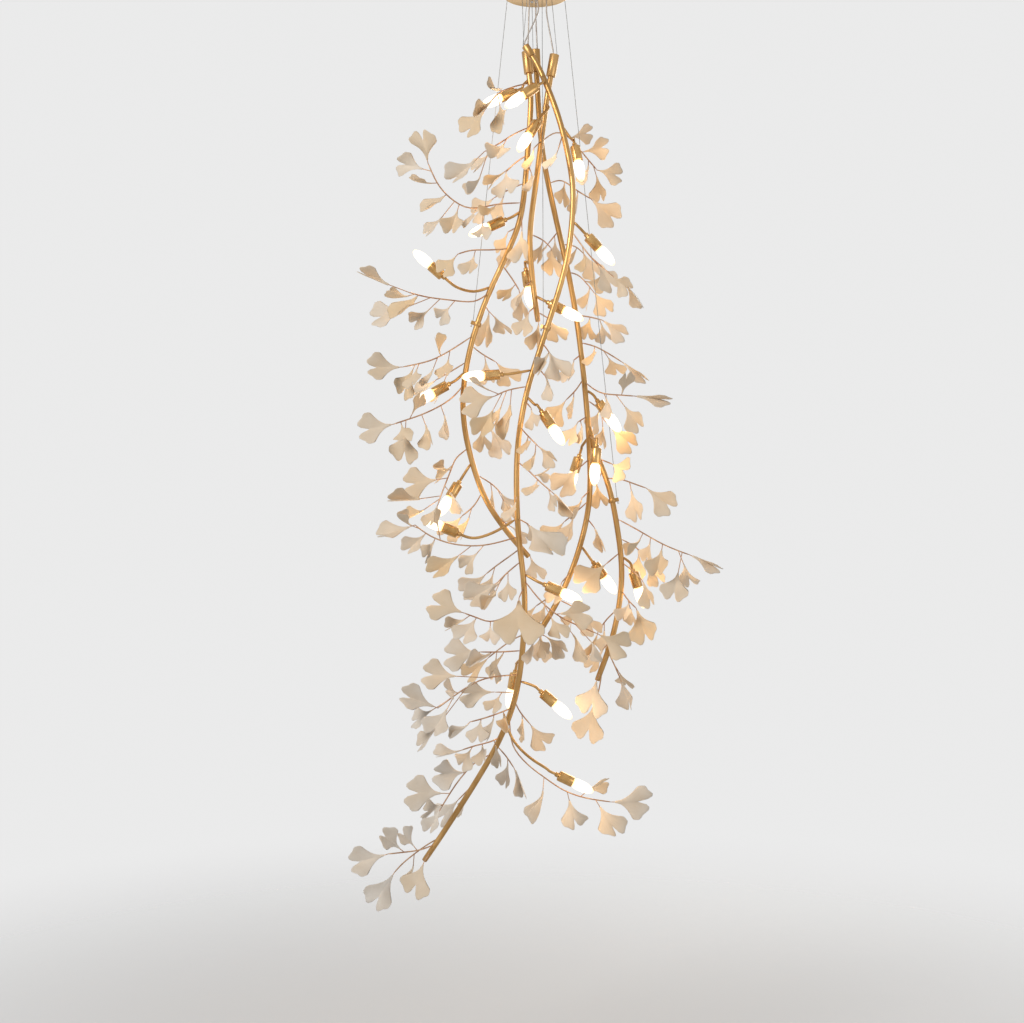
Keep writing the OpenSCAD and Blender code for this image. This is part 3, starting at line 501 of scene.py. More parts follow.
@dataclass(frozen=True)
class GlowFinish(Finish):
    """Frosted glass of a lit lamp, whiter in the middle and yellower at its ends."""

    tip: Colour = (1.0, 0.58, 0.16, 1)
    body: Colour = (1.0, 0.84, 0.60, 1)
    white_between: Point2 = (0.15, 0.78)
    strength: float = 1.8

    def made(self) -> bpy.types.Material:
        """Makes the material, which reads each point's share along the glass.

        Returns:
            The material.
        """
        material, known = self.base()
        tree, shader = material.node_tree, known["shader"]
        along = add_node(tree, "Attribute", attribute_name="along")
        ramp = add_node(tree, "ValToRGB")
        stops = ramp.color_ramp.elements
        for stop, position in zip(stops, (0.0, 1.0)):
            stop.position = position
            stop.color = self.tip
        for position in self.white_between:
            stops.new(position).color = self.body
        link(tree, (along, "Fac", ramp, "Fac"), (ramp, "Color", shader, "Emission Color"))
        shader.inputs["Emission Strength"].default_value = self.strength
        return material


BRUSHED_BRASS = Finish(
    "drawn_brass", (0.36, 0.20, 0.07, 1), (0.58, 0.35, 0.14, 1), drift=30, fine=260,
    stretch=(1, 1, 0.08), rough=(0.26, 0.46), relief=0.00012, metallic=1.0,
)
SPUN_BRASS = Finish(
    "spun_brass", (0.52, 0.34, 0.15, 1), (0.72, 0.50, 0.26, 1), drift=14, fine=500,
    stretch=(0.12, 1, 1), rough=(0.34, 0.58), relief=0.0002, metallic=1.0,
)
TWIG_BRASS = Finish(
    "annealed_brass", (0.36, 0.20, 0.12, 1), (0.58, 0.38, 0.24, 1), drift=45, fine=500,
    rough=(0.34, 0.55), relief=0.00012, metallic=0.95,
)
CUP_BRASS = Finish(
    "cup_brass", (0.46, 0.26, 0.09, 1), (0.66, 0.41, 0.17, 1), drift=40, fine=900,
    rough=(0.16, 0.30), relief=0.00002, metallic=1.0,
)
STEEL = Finish(
    "plain_steel", (0.42, 0.42, 0.42, 1), (0.60, 0.60, 0.59, 1), drift=50, fine=700,
    stretch=(1, 1, 0.2), rough=(0.26, 0.42), relief=0.00005, metallic=1.0,
)
WIRE_STEEL = Finish(
    "wire_steel", (0.15, 0.15, 0.14, 1), (0.28, 0.27, 0.26, 1), drift=300, fine=1800,
    rough=(0.3, 0.5), relief=0.00002, metallic=0.9,
)
CLEAR_CORD = Finish(
    "clear_cord", (0.42, 0.35, 0.30, 1), (0.62, 0.55, 0.48, 1), drift=260, fine=900,
    stretch=(1, 1, 0.25), rough=(0.16, 0.3), relief=0.00005, coat=0.7, specular=0.6,
)
PALE_PLASTIC = Finish(
    "pale_plastic", (0.74, 0.73, 0.69, 1), (0.82, 0.81, 0.77, 1), drift=60, fine=900,
    rough=(0.4, 0.55),
)
STEATITE = Finish(
    "steatite", (0.78, 0.75, 0.68, 1), (0.86, 0.84, 0.78, 1), drift=90, fine=1400,
    rough=(0.5, 0.7), relief=0.00008,
)
PORCELAIN = PorcelainFinish(
    "bisque_porcelain", (0.78, 0.71, 0.62, 1), (0.89, 0.84, 0.77, 1), drift=26, fine=380,
    rough=(0.48, 0.68), relief=0.00004,
)
FROSTED = GlowFinish(
    "lit_glass", (0.93, 0.91, 0.86, 1), (0.97, 0.96, 0.93, 1), drift=60, fine=1200,
    rough=(0.35, 0.5),
)


def dress(obj: bpy.types.Object, finish: Finish) -> None:
    """Gives an object one material.

    Args:
        obj: The object to dress.
        finish: Its finish.
    """
    obj.data.materials.clear()
    obj.data.materials.append(finish.material())


# ---------------------------------------------------------------- studio


@dataclass
class Studio:
    """Camera, soft lights, a pale floor and a pale world."""

    eye: Point = (-0.0504, -3.0, -1.12735)
    focal_px: float = 1428.57
    picture_px: int = 1024
    sensor_mm: float = 36.0
    view_end: float = 60.0
    lit_place: Point = (0.0, 0.0, -1.0)
    soft_tint: Colour = (0.86, 0.88, 0.92, 1)
    soft_strength: float = 0.23
    seen_tint: Colour = (0.90, 0.90, 0.90, 1)
    seen_strength: float = 0.92
    floor_z: float = -2.42
    floor_r: float = 3.2
    floor_sides: int = 96
    floor_tint: Colour = (0.94, 0.94, 0.94, 1)
    floor_rough: float = 0.8
    fade_from: float = 0.5
    fade_to: float = 0.9

    def camera(self) -> None:
        """Sets the camera where the photograph was taken."""
        bpy.ops.object.camera_add(location=self.eye, rotation=(math.radians(90), 0, 0))
        camera = bpy.context.object
        camera.data.sensor_width = self.sensor_mm
        camera.data.lens = self.sensor_mm * self.focal_px / self.picture_px
        camera.data.clip_end = self.view_end
        bpy.context.scene.camera = camera

    def light(self, name: str, place: Point, size: float, power: float, tint: Point) -> None:
        """Adds a soft area light that looks at the chandelier's middle.

        Args:
            name: Name of the light.
            place: Where it stands.
            size: Width of its disc, in metres.
            power: Its power in watts.
            tint: Its colour.
        """
        bpy.ops.object.light_add(type="AREA", location=place)
        lamp = bpy.context.object
        lamp.name = name
        lamp.data.shape = "DISK"
        lamp.data.size = size
        lamp.data.energy = power
        lamp.data.color = tint
        lamp.rotation_mode = "QUATERNION"
        look = Vector(self.lit_place) - Vector(place)
        lamp.rotation_quaternion = look.to_track_quat("-Z", "Y")

    def world(self) -> None:
        """Makes a pale world that lights softly and shows pale to the camera and in metal."""
        world = bpy.data.worlds.new("pale_room")
        bpy.context.scene.world = world
        world.use_nodes = True
        tree = world.node_tree
        tree.nodes.clear()
        out = add_node(tree, "OutputWorld")
        soft = add_node(tree, "Background", {"Color": self.soft_tint, "Strength": self.soft_strength})
        seen = add_node(tree, "Background", {"Color": self.seen_tint, "Strength": self.seen_strength})
        ray, mix = add_node(tree, "LightPath"), add_node(tree, "MixShader")
        shown, output = ray, "Is Camera Ray"
        for kind in ("Is Glossy Ray", "Is Transmission Ray"):
            either = add_node(tree, "Math", operation="MAXIMUM")
            link(tree, (shown, output, either, 0), (ray, kind, either, 1))
            shown, output = either, "Value"
        link(
            tree, (shown, output, mix, "Fac"), (soft, "Background", mix, 1),
            (seen, "Background", mix, 2), (mix, "Shader", out, "Surface"),
        )

    def floor_finish(self) -> bpy.types.Material:
        """Makes the floor's material, which fades outwards and is clear from below.

        Returns:
            The material.
        """
        material = bpy.data.materials.new("pale_floor")
        material.use_nodes = True
        tree = material.node_tree
        shader, out = tree.nodes["Principled BSDF"], tree.nodes["Material Output"]
        shader.inputs["Base Color"].default_value = self.floor_tint
        shader.inputs["Roughness"].default_value = self.floor_rough
        place = add_node(tree, "TexCoord")
        level = add_node(tree, "VectorMath", {1: (1, 1, 0)}, operation="MULTIPLY")
        length = add_node(tree, "VectorMath", operation="LENGTH")
        fade = add_node(
            tree, "MapRange", {"From Min": self.fade_from, "From Max": self.floor_r * self.fade_to},
            interpolation_type="SMOOTHSTEP",
        )
        back, gone = add_node(tree, "NewGeometry"), add_node(tree, "Math", operation="MAXIMUM")
        clear, mix = add_node(tree, "BsdfTransparent"), add_node(tree, "MixShader")
        link(
            tree, (place, "Object", level, 0), (level, "Vector", length, 0),
            (length, "Value", fade, "Value"), (fade, "Result", gone, 0),
            (back, "Backfacing", gone, 1), (gone, "Value", mix, "Fac"), (shader, "BSDF", mix, 1),
            (clear, "BSDF", mix, 2), (mix, "Shader", out, "Surface"),
        )
        return material

    def floor(self) -> None:
        """Adds a pale floor that fades into the world."""
        floor = disc("floor", self.floor_r, self.floor_z, self.floor_sides)
        floor.data.materials.append(self.floor_finish())

    def build(self) -> None:
        """Sets up the whole studio."""
        bpy.context.scene.view_settings.view_transform = "Standard"
        self.camera()
        self.world()
        self.floor()
        self.light("key_light", place=(-2.2, -2.6, 0.6), size=1.7, power=74, tint=(1.0, 0.96, 0.91))
        self.light("fill_light", place=(2.6, -2.2, -1.2), size=2.4, power=18, tint=(0.95, 0.97, 1.0))
        self.light("rim_light", place=(1.2, 2.8, -0.2), size=1.8, power=40, tint=(1.0, 0.95, 0.88))


# ---------------------------------------------------------------- cords and wires


@dataclass(frozen=True)
class Line:
    """A cord or wire: its route, its thickness, how it lies, its finish and its slot.

    It leaves the canopy at the route's point number exit. A hanging line takes a number of steps
    from each point to the next, and facets sets how round its section is.
    """

    name: str
    node: str
    route: Route
    diameter: float
    lay: Lay
    finish: Finish
    slot: str
    exit: int = 1
    steps: int = 3
    facets: int = 4

    def smooth_route(self) -> list[Vector]:
        """Rounds a hanging route as the CAD tube does.

        Returns:
            The points of the centreline.
        """
        p = [Vector(q) for q in self.route]
        if self.lay is Lay.TAUT:
            return p
        out = []
        for i in range(len(p) - 1):
            b, c = p[i], p[i + 1]
            a = p[i - 1] if i > 0 else 2 * b - c
            d = p[i + 2] if i < len(p) - 2 else 2 * c - b
            square, cube = 2 * a - 5 * b + 4 * c - d, 3 * b - a - 3 * c + d
            for k in range(self.steps):
                t = k / self.steps
                out.append((2 * b + (c - a) * t + square * t**2 + cube * t**3) / 2)
        return out + [p[-1]]

    def build(self) -> bpy.types.Object:
        """Returns:
            The curve object.
        """
        points = self.smooth_route()
        curve = bpy.data.curves.new(self.name, "CURVE")
        curve.dimensions = "3D"
        curve.bevel_depth = self.diameter / 2
        curve.bevel_resolution = self.facets
        curve.use_fill_caps = True
        spline = curve.splines.new("POLY")
        spline.points.add(len(points) - 1)
        for at, point in zip(spline.points, points):
            at.co = (*point, 1)
        obj = bpy.data.objects.new(self.name, curve)
        bpy.context.scene.collection.objects.link(obj)
        dress(obj, self.finish)
        settled(obj, FIXED, self.node)
        return obj


@dataclass
class Suspension:
    """The clear power cords and the steel wires that the branches hang on.

    A cord's route runs from inside the canopy into a stem's head, and a wire's from its gripper to
    its stop. Both repeat the routes of the CAD solids.
    """

    cord_d: float = 0.003
    wire_d: float = 0.0012
    cords: tuple[Route, ...] = (
        (
            (0.003, -0.02, -0.033), (0.003, -0.02, -0.054), (0.003, -0.02, -0.067),
            (0.003, -0.023, -0.09), (-0.0237, -0.0359, -0.1534), (-0.02, -0.0366, -0.1593),
            (-0.0151, -0.0376, -0.1671),
        ),
        (
            (-0.014, -0.004, -0.033), (-0.014, -0.004, -0.054), (-0.014, -0.004, -0.067),
            (-0.015, -0.005, -0.085), (-0.0169, -0.0048, -0.1554), (-0.0161, -0.005, -0.1624),
            (-0.015, -0.0053, -0.1715),
        ),
        (
            (0.022, -0.005, -0.033), (0.022, -0.005, -0.054), (0.022, -0.005, -0.067),
            (0.023, -0.004, -0.09), (0.0358, -0.0013, -0.1599), (0.0346, -0.0011, -0.1668),
            (0.033, -0.0008, -0.1759),
        ),
        (
            (0, 0.018, -0.033), (0, 0.018, -0.054), (0, 0.018, -0.067), (0, 0.02, -0.085),
            (0.0026, 0.0209, -0.1416), (0.003, 0.0218, -0.1485), (0.0036, 0.0231, -0.1576),
        ),
    )
    wires: tuple[Route, ...] = (
        ((-0.018, -0.034, -0.031), (-0.018, -0.034, -0.049),
         (-0.0277, -0.0368, -0.1606), (-0.0212, -0.038, -0.1709)),
        ((-0.029, -0.006, -0.031), (-0.029, -0.006, -0.049),
         (-0.0254, -0.005, -0.1605), (-0.0239, -0.0054, -0.1726)),
        ((0.033, 0.004, -0.031), (0.033, 0.004, -0.049),
         (0.0439, -0.0011, -0.1654), (0.0418, -0.0007, -0.1774)),
        ((-0.008, 0.03, -0.031), (-0.008, 0.03, -0.049),
         (-0.0061, 0.0215, -0.1461), (-0.0054, 0.0231, -0.1582)),
        ((-0.06, 0, -0.031), (-0.06, 0, -0.049),
         (-0.131, -0.0154, -0.725), (-0.1364, -0.0151, -0.7412)),
        ((0.06, 0, -0.031), (0.06, 0, -0.049),
         (0.1708, 0.019, -1.0944), (0.1744, 0.0172, -1.111)),
        ((0.013, 0.008, -0.031), (0.013, 0.008, -0.049),
         (0.0144, -0.0439, -0.737), (0.0091, -0.0429, -0.7532)),
    )

    def build(self) -> None:
        """Makes all the cords and wires."""
        for k, route in enumerate(self.cords, 1):
            Line(
                f"power_cord_{k}", "power_cords", route, self.cord_d, Lay.HANGING, CLEAR_CORD,
                "cord_plastic",
            ).build()
        for k, route in enumerate(self.wires, 1):
            Line(
                f"suspension_wire_{k}", "suspension_wires", route, self.wire_d, Lay.TAUT,
                WIRE_STEEL, "steel",
            ).build()


# ---------------------------------------------------------------- stems, arms and twigs


@dataclass(frozen=True)
class Rod:
    """How a faceted sweep becomes a round rod: its swell, its smoothing, its finish and its slot.

    The swell, in metres, pushes the facets out first, because smoothing draws them in.
    """

    swell: float
    levels: int
    finish: Finish
    slot: str


@dataclass
class Tubes:
    """Round tubes and rods, made from merged copies of the CAD sweeps."""

    stem: Rod = Rod(0.00055, 2, BRUSHED_BRASS, "brushed_brass")
    arm: Rod = Rod(0.0005, 1, BRUSHED_BRASS, "twig_brass")
    twig: Rod = Rod(0.0006, 1, TWIG_BRASS, "twig_brass")

    def round_off(self, node: str, name: str, rod: Rod) -> bpy.types.Object:
        """Copies a faceted sweep, merges it and smooths it into a round rod.

        Args:
            node: The CAD node that the piece stands for.
            name: Name of the new piece.
            rod: How it is rounded and finished.

        Returns:
            The finished piece.
        """
        source = frame["nodes"][node]
        new = source.copy()
        new.data = source.data.copy()
        new.parent = None
        for key in list(new.keys()):
            del new[key]
        new.name = name
        bpy.context.scene.collection.objects.link(new)
        pick(new)
        bpy.ops.object.mode_set(mode="EDIT")
        bpy.ops.mesh.select_all(action="SELECT")
        bpy.ops.mesh.remove_doubles(threshold=SAME_PLACE)
        bpy.ops.mesh.customdata_custom_splitnormals_clear()
        bpy.ops.mesh.tris_convert_to_quads()
        bpy.ops.mesh.normals_make_consistent(inside=False)
        bpy.ops.transform.shrink_fatten(value=rod.swell)
        bpy.ops.object.mode_set(mode="OBJECT")
        smooth = new.modifiers.new("smooth", "SUBSURF")
        smooth.levels = smooth.render_levels = rod.levels
        bpy.ops.object.modifier_apply(modifier=smooth.name)
        bpy.ops.object.shade_smooth()
        dress(new, rod.finish)
        settled(new, FIXED, node)
        LOG.info(name)
        return new

    def build(self) -> None:
        """Makes the stems, the lamp arms and the twigs."""
        for cluster in Cluster:
            self.round_off(cluster.stem, f"{cluster.value}_tube", self.stem)
            self.round_off(f"{cluster.value}_twigs", f"{cluster.value}_rods", self.twig)
        self.round_off("lamp_arms", "arms", self.arm)


# ---------------------------------------------------------------- leaves


@dataclass(frozen=True)
class LeafShape:
    """One kind of leaf: how its halves fold, in radians, and how it curls, twists and ripples.

    The notch moves the cleft between its lobes, and lean makes one lobe longer.
    """

    name: str
    fold: float = 0.25
    curl: float = 0.0
    twist: float = 0.0
    ripple: float = 0.02
    notch: float = 0.0
    lean: float = 0.0


@dataclass
class Leaves:
    """Two-lobed porcelain leaves, each one set where its CAD solid is.

    The neck's rows give place along the leaf, half width and half thickness. The blade's rows give
    the share of the way from the fan's root to the rim, and half thickness. The rim's rows give
    places along and across the leaf, from the cleft to the side. All of them are in leaf widths.
    """

    neck: tuple[Point, ...] = ((0.0, 0.046, 0.046), (0.2, 0.042, 0.03))
    blade: Profile = ((0.5, 0.03), (0.95, 0.024), (1.0, 0.0))
    rim: Profile = (
        (0.60, 0.0), (1.15, 0.08), (1.23, 0.32), (0.95, 0.42), (0.94, 0.64), (0.52, 0.52),
    )
    kinds: tuple[LeafShape, ...] = (
        LeafShape("cupped", fold=0.32, curl=0.06, lean=0.05),
        LeafShape("open", fold=0.16, curl=-0.07, ripple=0.045, notch=-0.06, lean=0.10),
        LeafShape("deep_fold", fold=0.75, curl=0.06, notch=0.03, lean=-0.05),
        LeafShape("left_twist", fold=0.45, twist=1.3, ripple=0.04, lean=-0.08),
        LeafShape("rolled", fold=0.5, curl=0.2, ripple=0.05, notch=0.08),
        LeafShape("right_twist", fold=0.45, twist=-1.3, ripple=0.04, lean=0.08),
        LeafShape("shell", fold=1.2, curl=0.1, ripple=0.03, notch=0.05, lean=0.06),
        LeafShape("wave", fold=0.3, twist=-0.7, curl=-0.1, ripple=0.07, lean=-0.05),
    )
    # The first so many kinds are flat enough to stand nearer than this to a lamp.
    mild: int = 3
    clear_of_lamps: float = 0.085
    # How far a leaf may stand out of the CAD model's box.
    proud: float = 0.012
    # Steps that spread the kinds over the leaves.
    stride: int = 5
    shift_every: int = 7

    width: float = 0.05
    around: int = 20
    merged_below: float = 1e-5
    fan_root: float = 0.27
    flare: float = 1.15
    cleft_fill: float = 0.45
    fold_rate: float = 2.0
    crease_rate: float = 8.0
    blade_length: float = 1.2
    waves: float = 4.2
    wave_shift: float = 3.0
    twist_root: float = 0.3
    neck_share: float = 0.1

    # How a CAD leaf is read: its socket is where its points are densest, and its widest chord is
    # chord times its width and chord_more metres.
    hub_reach: float = 0.0044
    outer_share: float = 0.7
    end_depth: float = 0.0006
    chord: float = 0.908
    chord_more: float = 0.0005

    # How creamy a leaf is by itself, and how much painted warm glow of lamp light it gets near a lamp.
    own_cream: float = 0.6
    own_power: float = 1.5
    painted_lamp_glow: float = 0.55
    painted_glow_reach: float = 0.15

    @cached_property
    def lamps(self) -> list[Vector]:
        """The middles of all the lamps."""
        names = [f"bulb_{number:02d}" for number in range(1, LAMP_COUNT + 1)]
        return [(Vector(low) + Vector(high)) / 2 for low, high in map(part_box, names)]

    def rim_point(self, across: float, shape: LeafShape) -> Point2:
        """Gives a place on the blade's scalloped rim, in widths.

        Args:
            across: Place across the fan, from -1 to 1.
            shape: The kind of leaf.

        Returns:
            The distances along and across the leaf.
        """
        x, y = self.rim[round(abs(across) * (len(self.rim) - 1))]
        x += shape.notch if across == 0 else 0.0
        return x * (1 + shape.lean * across), math.copysign(y, across)

    def flat(self, ring: int, angle: float, shape: LeafShape) -> tuple[float, float, Point]:
        """Places one point of a leaf before it is bent.

        Args:
            ring: Number of the ring, from the socket to the rim.
            angle: Angle round the ring.
            shape: The kind of leaf.

        Returns:
            The point's shares across and out to the rim, and its place in widths.
        """
        steps = len(self.rim) - 1
        across = round(steps * (1 - 2 * abs(angle) / math.pi)) / steps
        if ring < len(self.neck):
            x, half, thick = self.neck[ring]
            return across, 0.0, (x, half * math.cos(angle), thick * math.sin(angle))
        out, thick = self.blade[ring - len(self.neck)]
        x, y = self.rim_point(across, shape)
        x += self.cleft_fill * (1 - out) * (across == 0)
        x = self.fan_root + out * (x - self.fan_root)
        return across, out, (x, y * out**self.flare, thick * math.sin(angle))

    def bent(self, across: float, out: float, place: Point, shape: LeafShape) -> Vector:
        """Folds, curls, ripples and twists one point of a leaf.

        Args:
            across: The point's share across.
            out: Its share out to the rim.
            place: Its place before, in widths.
            shape: The kind of leaf.

        Returns:
            Its place after, in widths.
        """
        x, y, z = place
        fold = shape.fold * min(1.0, out * self.fold_rate)
        side, lift = abs(y), z
        crease = min(1.0, side * self.crease_rate)
        y = math.copysign(side * math.cos(fold) - lift * math.sin(fold) * crease, across)
        z = side * math.sin(fold) + lift * math.cos(fold)
        z += shape.curl * (x / self.blade_length) ** 2
        z += shape.ripple * out**2 * math.sin(self.waves * across + shape.twist * self.wave_shift)
        turn = shape.twist * max(0.0, x - self.twist_root)
        cos, sin = math.cos(turn), math.sin(turn)
        return Vector((x, y * cos - z * sin, y * sin + z * cos))

    def pattern(self, shape: LeafShape) -> bpy.types.Object:
        """Models one kind of leaf: a ring raised into a neck and drawn out into a fan.

        Args:
            shape: The kind of leaf.

        Returns:
            The pattern, in a leaf's own frame.
        """
        rings, necks = len(self.neck) + len(self.blade), len(self.neck)
        leaf = turned(f"leaf_{shape.name}", [(1.0, float(j)) for j in range(rings)], self.around)
        mesh = leaf.data
        facts = mesh.attributes.new("leaf", "FLOAT_VECTOR", "POINT")
        for vertex in mesh.vertices:
            ring = round(vertex.co.z)
            across, out, place = self.flat(ring, math.atan2(vertex.co.y, vertex.co.x), shape)
            vertex.co = self.bent(across, out, place, shape) * self.width
            along = ring / (rings - 1) if ring >= necks else self.neck_share * ring / necks
            facts.data[vertex.index].vector = (across, along, 0)
        pick(leaf)
        bpy.ops.object.mode_set(mode="EDIT")
        bpy.ops.mesh.select_all(action="SELECT")
        bpy.ops.mesh.remove_doubles(threshold=self.merged_below)
        bpy.ops.mesh.normals_make_consistent(inside=False)
        bpy.ops.object.mode_set(mode="OBJECT")
        bpy.ops.object.shade_smooth()
        return leaf

    def frame_of(self, points: list[Vector]) -> tuple[Matrix, float]:
        """Reads a leaf's own frame and width off its CAD solid.

        Args:
            points: The solid's points.

        Returns:
            The leaf's matrix and its width in metres.
        """
        hub = max(points, key=lambda p: sum((q - p).length < self.hub_reach for q in points))
        reach = max((p - hub).length for p in points)
        blade = middle_of([p for p in points if (p - hub).length > self.outer_share * reach])
        tail = max(points, key=lambda p: (p - blade).length)
        inwards = (blade - tail).normalized()
        ring = [p for p in points if (p - tail).dot(inwards) < self.end_depth]
        root = middle_of(ring)
        normals = [(tail - root).cross(p - root) for p in ring]
        heading = max(normals, key=lambda n: n.length).normalized()
        heading *= 1 if heading.dot(blade - root) > 0 else -1
        offsets = [(p - root) - (p - root).dot(heading) * heading for p in points]
        first = max(offsets, key=lambda q: q.length)
        second = max(offsets, key=lambda q: (q - first).length)
        across = (first - second).normalized()
        normal = heading.cross(across)
        if (first + second).dot(normal) < 0:
            across, normal = -across, -normal
        width = ((first - second).length - self.chord_more) / self.chord
        turn = Matrix((heading, across, normal)).transposed().to_4x4()
        return Matrix.Translation(root) @ turn, width

    def cream_and_painted_glow(self, place: Vector, count: int) -> float:
        """Chooses how creamy a leaf is, no two alike, and paints in the warm glow of lamp light near a
        lamp.

        Args:
            place: The leaf's socket.
            count: The leaf's number.

        Returns:
            A share from 0, pale, to 1, full cream and painted lamp glow.
        """
        own = self.own_cream * scattered(count) ** self.own_power
        # Painted light: the warm glow of the nearest lamp, painted into the leaf's colour.
        lamp = self.painted_lamp_glow * math.exp(-((self.to_lamp(place) / self.painted_glow_reach) ** 2))
        return min(1.0, own + lamp)

    def inside(self, pattern: bpy.types.Object, own: Matrix) -> bool:
        """Tells whether a kind of leaf stays within the size of the CAD model at a leaf's place.

        Args:
            pattern: The kind of leaf.
            own: The leaf's matrix.

        Returns:
            Whether it stays in.
        """
        places = [own @ vertex.co for vertex in pattern.data.vertices]
        return all(
            low - self.proud < place[i] < high + self.proud
            for place in places for i, (low, high) in enumerate(zip(*CAD_BOX))
        )

    def to_lamp(self, place: Vector) -> float:
        """Gives the distance from a place to the nearest lamp."""
        return min((place - lamp).length for lamp in self.lamps)

    def leaf(self, points: list[Vector], count: int, patterns: list[bpy.types.Object]) -> bpy.types.Object:
        """Sets one leaf where its CAD solid is.

        Args:
            points: The solid's points.
            count: The leaf's number.
            patterns: The kinds of leaf.

        Returns:
            The leaf.
        """
        place, width = self.frame_of(points)
        blade = place @ Vector((width, 0, 0))
        choice = self.mild if self.to_lamp(blade) < self.clear_of_lamps else len(patterns)
        own = place @ Matrix.Scale(width / self.width, 4)
        wanted = patterns[(count * self.stride + count // self.shift_every) % choice]
        order = [wanted, *patterns]
        pattern = next((p for p in order if self.inside(p, own)), patterns[0])
        leaf = copied(pattern, f"leaf_{count}", own)
        # The leaf's own creaminess plus painted lamp glow, stored as the third share of its points.
        cream_and_painted_glow = self.cream_and_painted_glow(place.translation, count)
        for fact in leaf.data.attributes["leaf"].data:
            fact.vector = (fact.vector[0], fact.vector[1], cream_and_painted_glow)
        return leaf

    def build(self) -> None:
        """Sets a leaf on every stalk."""
        patterns = [self.pattern(shape) for shape in self.kinds]
        count = 0
        for cluster in Cluster:
            node = f"{cluster.value}_leaves"
            solids = solids_of(node)
            made = [self.leaf(points, count + i, patterns) for i, points in enumerate(solids)]
            count += len(made)
            spray = joined(f"{cluster.value}_foliage", made)
            dress(spray, PORCELAIN)
            smooth = spray.modifiers.new("smooth", "SUBSURF")
            smooth.levels = smooth.render_levels = 1
            settled(spray, FIXED, node)
            LOG.info("%s: %d leaves", spray.name, len(made))
        for pattern in patterns:
            discard(pattern)


# ---------------------------------------------------------------- lamps


@dataclass(frozen=True)
class Turning:
    """A turned shape: radius and height of each ring in millimetres, and points round a ring."""

    rows: Profile
    sides: int
    pole: float = 0.002

    def shape(self, name: str) -> bpy.types.Object:
        """Turns the shape; a ring of no radius gets a tiny one that closes the pole.

        Args:
            name: Name of the object.

        Returns:
            The object.
        """
        return turned(name, [(max(r, self.pole) * MM, z * MM) for r, z in self.rows], self.sides)


